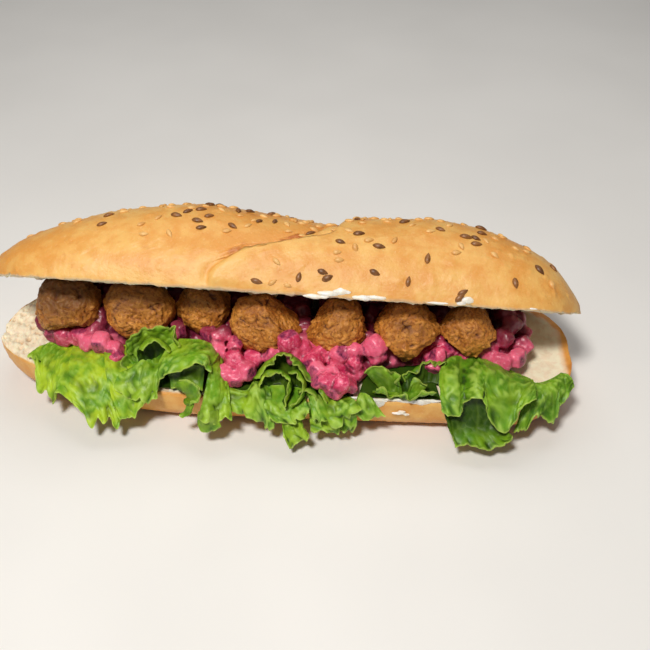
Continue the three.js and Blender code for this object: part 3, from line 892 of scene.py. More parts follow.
# Dice that are pushed up between the meatballs, hang over the rim or lie loose: place and edge.
SALAD_LUMPS = (
    (8.5, -17, 32.5, 8.6), (4, -18, 31, 8), (14, -22, 29, 8.2), (-3, -17, 29, 8),
    (16, -27, 28, 8.4), (37.5, -16, 32, 8.2), (39, -16, 26.5, 7), (-43, -7, 31, 7.4),
    (-45, -10, 26, 7), (65, -16, 29, 8), (63, -19, 25.5, 7.6), (92, -8, 33, 8), (96, -2, 35, 8),
    (93, 4, 36, 8.2), (99, 5, 32, 8), (96, 11, 35, 8), (93, -2, 29, 8), (101, -6, 27, 8),
    (98, -13, 26.5, 8), (91, -16, 26.5, 8), (102, 3, 27, 7.6), (-75, -13, 28, 8.4),
    (-81, -11, 26, 7.6), (-69, -15, 26, 7.6), (-67, -20, 25, 7), (-104, 2, 25.5, 7),
    (-98, -5, 25, 7), (18, -31, 27, 8), (23.5, -32.8, 25.8, 8.6), (29, -31.2, 26.4, 8),
    (26, -33, 28, 7.4), (20.5, -32.4, 28.4, 7), (-17, -28.5, 23.5, 7), (-22, -26.5, 25, 7.4),
    (-12.5, -26, 26.5, 7.6), (-76, 8, 32, 9), (-76, 14, 34, 9), (-46.5, 8, 33, 8.5),
    (-46.5, 14, 34, 9), (-20, 3, 31, 8.5), (-20, 10, 34, 9), (8, 5, 32, 8.5), (8, 12, 34, 9),
    (37, 5, 32, 8.5), (37, 12, 34, 9), (65, 6, 32, 8.5), (65, 13, 34, 9), (-104, 9, 27, 8),
)

# Dice that lie on top of the heap, against the meatballs.
TOP_DICE = ((4.4, -19.4, 37, 10), (6, -19.5, 31, 8.4), (39.2, -17.4, 34.8, 9.2), (40, -17.5, 30, 8))

# The other dice: how far apart their rows and layers are, how close two dice may come, and the
# shortest and longest edge.
DICE_ROWS = 9
ROW_PITCH = 6
LEAST_APART = 4.6
DICE_EDGES = (6, 9.4)

# The bed under them: its height over the cut, and where it begins and ends along the loaf.
BED_HEIGHT = 2.7
BED_ENDS = (-100, 102)


def heap_front(x):
    """Where the heap begins behind the open side, at x along the loaf."""
    xs, ys = zip(*DICE_FRONT)
    return np.interp(x, xs, ys)


def heap_bed(y):
    """How high the bed under the dice lies."""
    return cut_height(y) + BED_HEIGHT


def inside_a_meatball(place, clear):
    """Whether a place is in a ball, or closer to one than `clear`."""
    for at, radii, _ in MEATBALLS:
        apart = (np.array(place) - np.array(at)) / (np.array(radii) + clear)
        if apart @ apart < 1:
            return True
    return False


def heap_dice(settings):
    """Centres and edges of the diced beetroot, most of it along the open side."""
    chance = np.random.default_rng(17)
    dice = list(SALAD_LUMPS)
    for x in np.arange(-99, 104, settings.pitch / MM):
        for row in range(DICE_ROWS):
            place_x = x + chance.uniform(-2, 2)
            front = heap_front(place_x)
            y = front + 3.4 + row * ROW_PITCH + chance.uniform(-1.6, 1.6)
            if y > HEAP_BACK - 3:
                continue
            rise = 3.8 + 5.4 * float(smooth_step(y - front, 1, 15)) + chance.uniform(-1.5, 1.8)
            rise += 4 * float(smooth_step(y, 4, 12))
            for layer in range(2 if rise > 6 else 1):
                spot = np.array((place_x, y, heap_bed(y) + rise - ROW_PITCH * layer))
                clear = all(np.linalg.norm(spot - np.array(die[:3])) > LEAST_APART for die in dice)
                if clear and not inside_a_meatball(spot, 0.4):
                    dice.append((*spot, chance.uniform(*DICE_EDGES)))
    return np.array([*dice, *TOP_DICE])


def rounded_block(steps):
    """A block with an edge of 1, well rounded, as loose dice have it."""
    way, faces = round_grid(steps)
    power = 4
    size = (np.abs(way) ** power).sum(axis=1) ** (1 / power)
    return way / size[:, None] * 0.5, faces


def blocks_of(dice):
    """Each die as a block with its own turn and stretch, and the faces of them all."""
    chance = np.random.default_rng(29)
    block, faces = rounded_block(8)
    points = []
    turns = []
    stretch = []
    for x, y, z, edge in dice:
        turn = np.array(Euler(chance.uniform(-3, 3, 3)).to_matrix())
        size = edge * np.array([1, chance.uniform(0.62, 0.95), chance.uniform(0.8, 1.05)])
        points.append((block * size) @ turn.T + np.array([x, y, z]))
        turns.append(turn)
        stretch.append(size)
    faces = np.concatenate([faces + i * len(block) for i in range(len(dice))])
    return np.concatenate(points), faces, np.array(turns), np.array(stretch)


def heap_core():
    """The bed of the heap, which the dice sit on."""
    rows, columns = 42, 12
    x = np.linspace(*BED_ENDS, rows)[:, None]
    share = np.linspace(0, 1, columns)[None, :]
    y = blend(HEAP_BACK - 1, heap_front(x) + 2.5, share)
    top = heap_bed(y) + 3.5 * np.sin(np.pi * blend(0.08, 0.92, share)) ** 0.5
    upper = np.stack([x + 0 * y, y, top], axis=-1).reshape(-1, 3)
    lower = np.stack([x + 0 * y, y, heap_bed(y) - 0.8], axis=-1).reshape(-1, 3)
    count = rows * columns
    edge, after = border(rows, columns)
    wall = np.stack([edge, after, after + count, edge + count], axis=1)
    faces = [sheet_faces(rows, columns)[:, ::-1], sheet_faces(rows, columns, count), wall]
    return np.concatenate([upper, lower]), np.concatenate(faces)


def bare_faces(points, outwards, dice, turns, stretch):
    """Where the dressing has run off a die's face, each die's tone, and the gaps between dice, for painted
    shade.
    """
    chance = np.random.default_rng(31)
    show = chance.uniform(size=len(dice)) < 0.8
    picked = chance.integers(0, 3, size=len(dice))
    gaps = ((points[:, None, :] - dice[None, :, :3]) ** 2).sum(axis=2)
    nearest = gaps.argmin(axis=1)
    turned_back = turns[nearest].transpose(0, 2, 1)
    local = np.einsum("nij,nj->ni", turned_back, points - dice[nearest, :3])
    facing = np.einsum("nij,nj->ni", turned_back, outwards)
    axis = picked[nearest]
    rows = np.arange(len(points))
    flat = np.abs(facing[rows, axis])
    off_centre = np.abs(local / stretch[nearest])
    gap = smooth_step(off_centre.max(axis=1), 0.5, 0.7)
    off_centre[rows, axis] = 0
    inner = smooth_step(off_centre.max(axis=1), 0.46, 0.34)
    spotty = 0.8 + 0.7 * rough(points, 2.4, 311, 2)
    bare = np.clip(show[nearest] * smooth_step(flat, 0.55, 0.85) * inner * spotty, 0, 1)
    return bare, chance.uniform(size=len(dice))[nearest] ** 0.6, gap


def apply_modifiers(piece):
    """Makes what the modifiers show into the piece's own mesh."""
    graph = bpy.context.evaluated_depsgraph_get()
    finished = bpy.data.meshes.new_from_object(piece.evaluated_get(graph))
    old = piece.data
    piece.modifiers.clear()
    piece.data = finished
    bpy.data.meshes.remove(old)
    finished.name = piece.name


def build_salad(settings, finish):
    dice = heap_dice(settings)
    blocks, block_faces, turns, stretch = blocks_of(dice)
    core, core_faces = heap_core()
    faces = [block_faces, core_faces + len(blocks)]
    piece = make_piece("beetroot_salad_dressed", np.concatenate([blocks, core]), faces, finish)
    remesh = piece.modifiers.new("one heap", "REMESH")
    remesh.mode = "VOXEL"
    remesh.voxel_size = settings.voxel
    smooth = piece.modifiers.new("dressing", "SMOOTH")
    smooth.factor = 0.6
    smooth.iterations = 3
    apply_modifiers(piece)
    points = places_of(piece)
    outwards = normals_of(piece)
    low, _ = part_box("beetroot_salad")
    amount = 0.5 * rough(points, 4, 301, 2) + 0.3 * rough(points, 1.7, 305, 2)
    bare, tone, gap = bare_faces(points, outwards, dice, turns, stretch)
    amount -= 0.25 * bare
    points = points + outwards * amount[:, None]
    points[:, 2] = np.maximum(points[:, 2], low[2] / MM)
    move_to(piece, points)
    piece.data.polygons.foreach_set("use_smooth", np.ones(len(piece.data.polygons), dtype=bool))
    paint(piece, "bare", bare)
    paint(piece, "tone", tone)
    # Painted shade: darker between the dice, behind and under the meatballs, and under the lid at the
    # right end.
    under_the_balls = smooth_step(points[:, 1], -13, -3) * smooth_step(points[:, 0], 108, 100)
    behind = smooth_step(points[:, 2], 31, 35) * smooth_step(points[:, 1], -16, -11)
    at_the_end = 0.85 * smooth_step(points[:, 2], 29, 33) * smooth_step(points[:, 0], 80, 86)
    paint(piece, "gap", np.maximum.reduce([gap, under_the_balls, behind, at_the_end]))
    dress(piece, "beetroot", "beetroot_salad")
    return piece


# ---- Lettuce ----


def blade(seed, frill, teeth, *ribs, deep=0):
    """One blade of a leaf.

    Its ribs run from its left to its right, and each goes through the x, y and z of a few places,
    from its hidden root to the leaf's margin. `frill` is how strongly it ruffles, `teeth` is how
    deep its teeth are in millimetres, and `deep` is how much painted shade it gets where it
    stands over a hollow.
    """
    places = np.array(ribs, dtype=float).reshape(len(ribs), -1, 3)
    return {"seed": seed, "frill": frill, "teeth": teeth, "ribs": places, "deep": deep}


def leaf(young, span, *blades):
    """A few blades that lie over each other.

    `young` is how pale they are, and `span` is where the leaf's bed lies along the loaf.
    """
    return {"young": young, "span": span, "blades": blades}


LEFT_END_LEAF = leaf(
    0.95, (-104, -56),
    # Ragged lobes at the left, flat on the crumb and then over the rim.
    blade(
        1, 0.3, 3,
        (-94, -6, 21, -98, -7, 21.6, -102, -8.5, 21.4, -105, -11.5, 21, -107.4, -15.8, 20.3),
        (-94, -7, 21, -97.5, -10, 21.6, -100.5, -13.5, 21.4, -102.5, -16, 21, -103.6, -17.6, 20.2),
        (-93, -8, 21, -95.5, -14, 21.8, -98, -19.5, 20.6, -99.6, -23.5, 17, -100.8, -27, 12.4),
        (-91, -8, 21, -93, -16, 22, -94.6, -22.5, 20.6, -95.6, -26.4, 17, -96.4, -29, 13.6),
        (-89, -8, 21, -90.6, -18, 22, -91.8, -26, 20, -92.8, -30.6, 15.5, -93.8, -33.6, 10.6),
        (-87, -8, 21, -88, -18, 22.4, -88.8, -25.5, 21.6, -89.4, -29.5, 19.4, -90, -32, 17),
        (-84, -8, 21, -84.4, -19, 23, -84.2, -28, 22, -83.2, -34, 18, -81.8, -38, 15.6),
    ),
    # The broad middle, which hangs down furthest.
    blade(
        2, 0.3, 3.4,
        (-89, -5, 21, -88, -15, 23.4, -86.5, -25, 23, -84.4, -33, 19.6, -82, -38, 15.8),
        (-85, -4, 21.2, -83.6, -16, 24, -82, -27, 23.2, -80.4, -35, 19, -78.6, -40.4, 14),
        (-81.5, -4, 21.2, -80, -17, 24.4, -78.4, -28.5, 23.6, -76.6, -37, 18.6, -74.9, -44, 9.8),
        (-79, -4, 21.2, -77.4, -17, 24.4, -75.4, -28.5, 23.6, -73.6, -36.5, 19, -72, -41.4, 13),
        (-76.5, -4, 21.2, -74.8, -17, 24.4, -72.6, -28.5, 23.4, -70.6, -37, 18.4, -69.4, -43.2, 11.2),
        (-74, -4, 21.2, -72, -17.4, 24, -69.8, -28.5, 23, -68.4, -36, 18.6, -67.6, -40.6, 13.4),
        (-71.5, -4, 21.2, -69.6, -18, 23.6, -67.4, -28.5, 22.6, -65.8, -37.5, 16.8, -64.9, -44, 8.8),
        (-70, -6, 21.2, -67.8, -19, 23.2, -65.6, -28, 22.2, -64, -35.5, 17.4, -63, -40.4, 12),
    ),
    # A tongue at the right that lies over it.
    blade(
        3, 0.3, 4,
        (-74, -14, 25, -72, -21, 27, -70, -28, 26.6, -67.6, -34.5, 22, -65.4, -39.4, 16),
        (-71, -12.5, 25, -68.8, -20.5, 26.6, -66.4, -29, 25.4, -64.2, -36.4, 19, -62.4, -41.6, 11.6),
        (-68, -11, 24.4, -65.6, -20, 26, -63, -28.8, 25, -61, -35.6, 19.6, -59.6, -40.4, 13),
        (-65.5, -10, 24, -62.8, -20, 25.4, -60, -28.6, 24.8, -58, -35.4, 19.4, -56.8, -40.2, 12),
        (-63, -10, 23.4, -60, -20, 24.8, -57, -27.6, 24.4, -55, -33.8, 20.6, -54.1, -37.6, 16),
        (-61.5, -11, 23, -58, -20, 24.4, -55, -26.6, 24, -53.2, -32, 21.4, -52.6, -35.4, 18.8),
    ),
)

ROLLED_LEAF = leaf(
    0.4, (-66, -18),
    # The part that stands up and rolls round on itself.
    blade(
        4, 0.5, 1.5,
        (-57, -24, 22, -59.8, -23, 25, -61.8, -21.5, 29, -61.8, -20.4, 33, -60, -19.6, 36),
        (-56, -22, 22, -58.6, -19, 26.4, -59.6, -17.4, 31, -58.6, -16.8, 35.6, -56.4, -16.6, 39.4),
        (-54, -20, 22, -54.2, -17.4, 27, -54, -16, 32, -53, -15.6, 36.4, -51.6, -15.8, 39.6),
        (-51, -20, 22, -49.4, -17, 27, -47.8, -15.6, 32, -46.6, -15.2, 36.6, -45.8, -15.4, 40.2),
        (-49, -22, 22, -46, -19, 26, -43.4, -17, 31, -42.4, -16.4, 36, -42, -16.8, 40.6),
        (-48, -24, 22, -44.4, -23, 26, -42, -22, 30, -40.8, -21.4, 33, -40.2, -21.6, 34.6),
    ),
    # The roll's inner turn, like a hood over the dark hole.
    blade(
        5, 0.15, 0.5,
        (-57.5, -22, 24, -58, -21, 28, -57.4, -21.6, 31.6, -56, -23, 34, -54.2, -24.6, 34.6),
        (-55.5, -19, 24, -56, -18.4, 30, -55, -19.4, 34.6, -53.6, -21.4, 37, -51.8, -23.8, 37.6),
        (-51, -18, 24, -51.2, -17.6, 31, -50.8, -18.8, 35.8, -50.2, -20.8, 38.4, -49.4, -23.2, 38.8),
        (-47.5, -18.6, 24, -46.8, -18.2, 30, -46.2, -19.4, 34.4, -46, -21.4, 36.8, -46, -23.8, 36.8),
        (-45, -20.6, 24, -43.8, -20.4, 28, -43, -21.4, 31.4, -43, -23, 33.6, -43.8, -24.8, 34.2),
        deep=1.0,
    ),
    # A small ruffle on its left, turned up.
    blade(
        35, 0.3, 0.8,
        (-57.5, -21, 23, -58.8, -20, 25.5, -59.8, -19.6, 27.6, -60.8, -20, 29.6),
        (-58, -22, 23, -60, -21, 25.4, -61.8, -21.2, 27.2, -63.2, -22, 28.6),
        (-58, -23, 22.6, -60.4, -22.8, 24.6, -62.4, -23.2, 26.2, -64, -24, 27.6),
        (-57, -24, 22.4, -59, -24.4, 24, -61, -25, 25.2, -62.6, -25.8, 26.4),
        (-55.5, -24.6, 22.4, -57.2, -25.2, 23.8, -59, -25.8, 24.8, -60.4, -26.4, 25.6),
        deep=0.5,
    ),
    # The smooth part below, with a peak.
    blade(
        6, 0.6, 3.5,
        (-60, -24.5, 25, -62, -27, 26, -64, -29.4, 25.8, -65.4, -31.6, 24.4, -66.2, -33.4, 22.4),
        (-57.5, -24, 27, -59.4, -28, 27.4, -61, -31.4, 26, -62, -34, 23.4, -62.4, -35.6, 21),
        (-55, -24.5, 29.6, -56, -29, 28.4, -57, -33, 25.4, -57.8, -35.8, 22.4, -58.4, -37.4, 19.6),
        (-52.5, -24.5, 28, -53, -29, 27.6, -53.4, -33.4, 25, -53.6, -36.6, 22, -53.6, -38.8, 19.4),
        (-50, -24, 27, -50.2, -28.4, 27, -50.4, -32.8, 24.8, -50.4, -36, 22, -50.2, -38, 19.8),
        (-47.6, -23.5, 28, -47.8, -27.4, 27.4, -48, -31.4, 25.4, -48, -34.8, 22.6, -47.8, -36.8, 20.4),
    ),
    # The broad smooth fold on its right, which stands off like an awning.
    blade(
        7, 0.5, 1.6,
        (-44, -17, 32, -46.6, -22, 31.4, -48.4, -26.6, 28.6, -49, -30.6, 24.4, -48.6, -34, 19),
        (-41.6, -16, 33.6, -43.8, -21, 33.4, -45.6, -25.6, 32, -46.6, -29.4, 29.6, -46.9, -32.2, 27),
        (-38, -15, 33, -39.4, -20, 33.6, -40.6, -25, 33.2, -41.4, -29, 32.2, -41.6, -32.4, 30.4),
        (-33, -14.5, 32.4, -33.4, -19.6, 34, -33.8, -24.6, 34.8, -34, -28.8, 34.6, -34.1, -32.2, 33.6),
        (-28.6, -14.5, 30.4, -28.2, -19.8, 33.2, -28.2, -24.8, 35, -28.2, -28.6, 35.6, -28.4, -31.4, 35.4),
        (-25.4, -16, 28.4, -24.6, -21.4, 30.6, -25, -26.4, 32.2, -26, -29.8, 32, -27.1, -32.6, 31),
    ),
    # The lobe that runs down from it on the right.
    blade(
        36, 0.5, 3,
        (-26.4, -24, 32, -26.6, -30, 31.4, -27.6, -35, 27.6, -29.2, -40.4, 21.4, -31.2, -43.8, 16.4),
        (-25, -20, 30, -24.6, -28, 29.6, -25.2, -34.6, 26.2, -26.4, -40.4, 20.6, -27.8, -44.8, 15.6),
        (-24, -18, 27.4, -22.8, -26.5, 27.4, -22.7, -33.6, 24.6, -23.2, -39.6, 19.6, -23.8, -44.6, 14.8),
        (-23, -19.5, 25, -21.4, -27, 25, -20.8, -33, 22.8, -20.4, -38, 19.8, -20, -42.4, 16),
        (-22.6, -21.5, 24, -20.4, -28.4, 23, -19.2, -33.6, 21.2, -18.2, -38, 19, -17.2, -43, 16),
    ),
    # Its dark inside under that awning.
    blade(
        8, 0.3, 0.5,
        (-44.5, -30, 27.4, -44, -29, 25, -43.6, -29.6, 22.6, -43.2, -31.5, 20.6),
        (-40, -30, 30.4, -39.6, -28.6, 27.4, -39.4, -29.2, 23.8, -39.2, -31.4, 21),
        (-34, -29.6, 32.6, -34, -28.2, 28.6, -34, -29.2, 24.6, -34, -31.6, 21.2),
        (-29, -29.6, 33.4, -29.4, -28.6, 29.4, -29.8, -30, 25, -30.2, -32.6, 21.2),
        deep=1.0,
    ),
    # A pale-edged flap that curls back there, and its thin tip.
    blade(
        9, 0.4, 1,
        (-41.5, -31, 21.5, -41, -32.4, 23.4, -40, -33, 25.6, -38.6, -33, 27.6),
        (-39, -32, 20.5, -37.8, -34.4, 22.6, -36, -35, 25.6, -33.8, -34.5, 28.4),
        (-37, -33, 19.5, -35, -36.2, 21, -32.6, -37.2, 23.4, -29.9, -36.6, 26),
        (-36.4, -34, 18.6, -34.8, -37.2, 19.4, -32.6, -38.8, 21.2, -30.5, -38.8, 23.4),
        (-37.4, -35, 17.6, -36.4, -37.6, 17.8, -35, -39.4, 19.6, -33.8, -39.8, 22),
        deep=0.5,
    ),
    blade(
        37, 0.2, 0.4,
        (-35.4, -36.5, 19.4, -36.4, -38, 17.4, -37.8, -39.2, 15.6, -39.2, -40, 14.4),
        (-34.2, -37.6, 20, -35, -39.4, 18, -36.4, -40.4, 16, -38.6, -40.8, 14),
        (-33, -38.8, 20.6, -33.4, -40.4, 18.6, -35, -41.4, 16.2, -38, -41.2, 13.6),
    ),
    # The curl at the end of the lobe, which hangs down in front.
    blade(
        10, 0.3, 0.8,
        (-30.6, -41, 18, -31, -42.2, 16.2, -31.2, -43, 14.4, -31.2, -43.6, 12.8, -31, -44, 11.4),
        (-28.4, -42, 19, -28.8, -43.4, 16.8, -29, -44.2, 14.4, -28.8, -44.8, 12.2, -28.4, -45, 10.4),
        (-25.4, -42, 19.6, -25.6, -43.4, 17.4, -25.6, -44.4, 15, -25.4, -45, 12.8, -25, -45.2, 10.8),
        (-22.6, -41, 19.6, -22.4, -42.4, 17.8, -22.2, -43.2, 16, -22, -43.8, 14.4, -21.6, -44, 13),
        deep=0.45,
    ),
)

LOOPED_LEAF = leaf(
    0.5, (-19, 31),
    # The strip over the rim.
    blade(
        11, 0.7, 4,
        (-24, -29, 21.4, -22.8, -31.5, 22, -21.4, -33.6, 20.8, -20.4, -35.4, 18.6, -19.8, -36.8, 16.4),
        (-18, -30.5, 20.6, -17.5, -32.6, 21, -17, -34.6, 19.6, -16.5, -36.6, 17.4, -16, -38, 14.6),
        (-12.5, -31, 20.4, -12.5, -33, 20.8, -12, -35.6, 19.6, -11.5, -38, 17, -11, -39.5, 14),
        (-9.5, -28, 22.6, -9, -32, 24.6, -8.5, -36, 23, -7.5, -39, 18, -7, -40, 12.5),
        (-5.5, -29, 22, -5, -33, 23, -4.5, -37, 21, -3.5, -40.5, 15, -3, -42, 9),
        (-3, -30, 21.5, -2, -34, 21.6, -1.2, -36.5, 19, -1, -38.5, 15, -1, -40, 12),
    ),
    # The loop that stands up behind, like a hood.
    blade(
        12, 0.5, 0.9,
        (-8, -29, 20.5, -9.5, -28.5, 23, -9.5, -29, 24.8, -8.6, -29.6, 26, -7, -30, 26.5),
        (-5, -25, 21, -6.5, -24, 25, -6.4, -25, 28, -5.4, -26.5, 30.2, -4.2, -28, 31.2),
        (-1.5, -23, 21, -2.5, -21.5, 26.5, -2.4, -22.5, 30.5, -1.8, -24.5, 33.2, -1, -26.6, 34.5),
        (2.6, -22, 21, 2.6, -20.5, 27, 2.6, -21.5, 32, 2.5, -24, 35.5, 2.4, -26.5, 37),
        (6.5, -22.5, 21, 7.5, -21.5, 26.5, 7.4, -22.5, 30.5, 6.6, -25, 33.4, 5.6, -27.4, 34.5),
        (11, -25, 21, 12, -24.5, 25, 11.6, -25.5, 28, 10.4, -27.3, 30.5, 8.8, -29, 31.6),
        (15, -28, 20.5, 16, -28, 23.5, 15.6, -28.8, 25.5, 14.4, -30, 27.2, 12.8, -31.2, 28),
        (18, -31, 20, 19, -31, 22, 18.8, -31.6, 23.5, 18, -32.4, 24.6, 16.8, -33.2, 25),
        (21, -34, 19, 22, -34.6, 19.6, 21.8, -35.4, 20.2, 21, -36.2, 20.8, 19.8, -37, 20.8),
        deep=0.9,
    ),
    # The left of two smaller hoods before it.
    blade(
        13, 0.4, 0.6,
        (-5, -32, 20, -7, -31.5, 22.5, -7.4, -32, 24.5, -7, -33.2, 25.8, -6.3, -34.5, 26),
        (-3.5, -29, 20.5, -5.6, -28.3, 24, -5.8, -28.8, 26.6, -5.4, -30, 28.2, -4.5, -31.5, 28.5),
        (-1, -27, 21, -1.8, -25.8, 25, -1.8, -26.6, 28.2, -1.4, -28.5, 29.8, -0.8, -30.5, 30),
        (1.5, -27, 21, 2.4, -26, 25, 2.8, -27, 28.2, 2.8, -29, 29.8, 2.6, -31, 30),
        (3, -29.5, 20.5, 4.8, -29, 23.6, 5.4, -30, 26, 5.2, -32, 27.6, 4.6, -34, 28),
        (3.5, -33, 20, 5, -33.4, 21.6, 5.8, -34.6, 23.2, 5.6, -36, 24.6, 5, -37.6, 25),
        (2, -36, 19, 3, -37.5, 19.4, 3.6, -39, 20.4, 3.6, -40.4, 21.6, 3, -41.6, 22.4),
        deep=1.0,
    ),
    # The right one.
    blade(
        14, 0.4, 0.6,
        (5, -29, 21, 4.6, -27.5, 25.5, 4.4, -28, 28.6, 4.6, -29.6, 30.6, 5.2, -31.4, 31),
        (7.5, -27.5, 21, 8, -26.4, 25.5, 8.4, -27, 28.6, 8.4, -28.8, 30.4, 8.2, -30.8, 31),
        (9.5, -29, 20.5, 11, -28.6, 24, 11.4, -29.4, 26.4, 10.6, -31, 28, 9.3, -32.8, 28.6),
        (10, -32, 20, 11.8, -32, 22, 12.4, -33, 23.8, 11.6, -34.4, 25, 10.5, -35.6, 25.4),
        (9, -35, 19, 10.4, -35.8, 20.4, 11, -37, 22.2, 10.4, -38.2, 24, 9.3, -39, 25),
        (6, -37, 18.4, 7, -38.4, 18.6, 7.4, -39.8, 20, 7, -41, 21.6, 6, -41.4, 22.8),
        deep=1.0,
    ),
    # A third, smaller still.
    blade(
        15, 0.4, 0.6,
        (9, -33, 20.5, 8.6, -33, 23, 8.8, -34, 24.6, 9.2, -35.6, 25),
        (12, -32, 20.5, 12.4, -32, 23.4, 12.4, -33.4, 25.2, 12, -35.2, 25.6),
        (14.5, -33, 20, 15.6, -33, 22.4, 15.6, -34.4, 24, 14.6, -36.2, 24.4),
        (16, -35, 19, 17.2, -35.4, 20.6, 17, -36.8, 22, 15.8, -38.4, 22.4),
        deep=0.9,
    ),
    # The flap below them, and the strip that hangs from it.
    blade(
        16, 0.7, 4,
        (-5, -29, 21, -5, -34, 20.8, -4.6, -38.6, 20, -3.6, -41, 18.2, -2.4, -42.4, 16.6),
        (-1, -28, 21, -0.6, -33, 20, 0.6, -38.6, 18.8, 2, -42, 17.4, 3.6, -43.6, 15),
        (3, -28, 21, 3.8, -33.4, 20, 5, -39, 18.8, 6.6, -42.4, 17.8, 8.6, -43.6, 16),
        (7, -28.6, 21, 7.6, -33.6, 20.4, 8.8, -38.6, 20.4, 10.2, -41.8, 19.8, 11.6, -42.8, 17.6),
        (10.5, -30, 21, 11.2, -34, 21.4, 12.4, -37.8, 21.6, 13.6, -40, 20.6, 14.6, -41, 18.6),
    ),
    blade(
        17, 0.7, 4,
        (4, -37, 18, 3, -40.5, 15.5, 2.8, -42.5, 13, 3, -44, 10.5, 3.4, -45, 8.4),
        (6, -37, 17, 5, -41, 14, 4.8, -43, 11, 5.2, -44.8, 8, 6, -46.4, 5.4),
        (8, -37, 17, 7.4, -40, 13.5, 7.4, -42, 11, 8, -44, 9.2, 9, -46, 7.4),
        (9.5, -37, 17, 9, -40.6, 13.5, 9.4, -43, 11.4, 11, -45, 10, 12.6, -46.6, 8.6),
        (11, -38, 16.5, 10.4, -41.2, 14.8, 11, -43.2, 13.4, 12.4, -44.6, 12.4, 13.8, -45.6, 11.6),
    ),
    # Small ruffles to the right, in two layers.
    blade(
        18, 1.0, 4,
        (11, -31, 21, 12.5, -35, 23, 13.6, -38.4, 22.5, 14.4, -40.8, 20, 15, -42, 16.6),
        (15, -32, 21, 16, -36, 22.4, 16.8, -39.6, 21, 17.6, -41.6, 17.8, 18.2, -42.4, 14.6),
        (19, -33, 20, 20, -37, 20.6, 21, -40.4, 19, 22, -42, 16.4, 22.8, -42.6, 13.6),
        (22.5, -33, 20, 23.8, -36.6, 21, 25, -39.4, 20, 26.2, -41, 17.6, 27, -41.6, 15),
        (26, -33, 20, 27.2, -36, 21.8, 28.4, -38.4, 21.4, 29.4, -40, 19.6, 30.4, -40.6, 17.4),
        (29, -32, 20, 30.4, -34.4, 22.2, 31.6, -36.2, 22.6, 32.8, -37.4, 21.6, 33.8, -38, 20),
    ),
    blade(
        19, 1.0, 4,
        (12, -33, 17, 13, -36, 15, 13.6, -38.4, 12.6, 14, -40, 10.4, 14.4, -41, 8.6),
        (17, -33, 17, 17.6, -36.4, 15.4, 18, -38.8, 13.2, 18.6, -40.4, 11.4, 19, -41, 9.8),
        (21, -33.5, 17.5, 22.4, -36.6, 15, 23.6, -38.8, 12, 24.6, -40, 9, 25.4, -40.6, 6.2),
        (25, -33.5, 18, 26, -36.4, 15.8, 26.6, -38.4, 13.4, 27.2, -39.6, 11, 27.8, -40.2, 8.6),
        (28.5, -33.5, 18.5, 29.4, -36.2, 15.6, 30, -38.2, 12.6, 30.4, -39.4, 9.4, 30.8, -40, 6.6),
        (31.5, -33, 19, 32, -35.4, 17, 32.4, -37, 14.6, 32.6, -38, 12.4, 32.6, -38.6, 10.6),
    ),
)

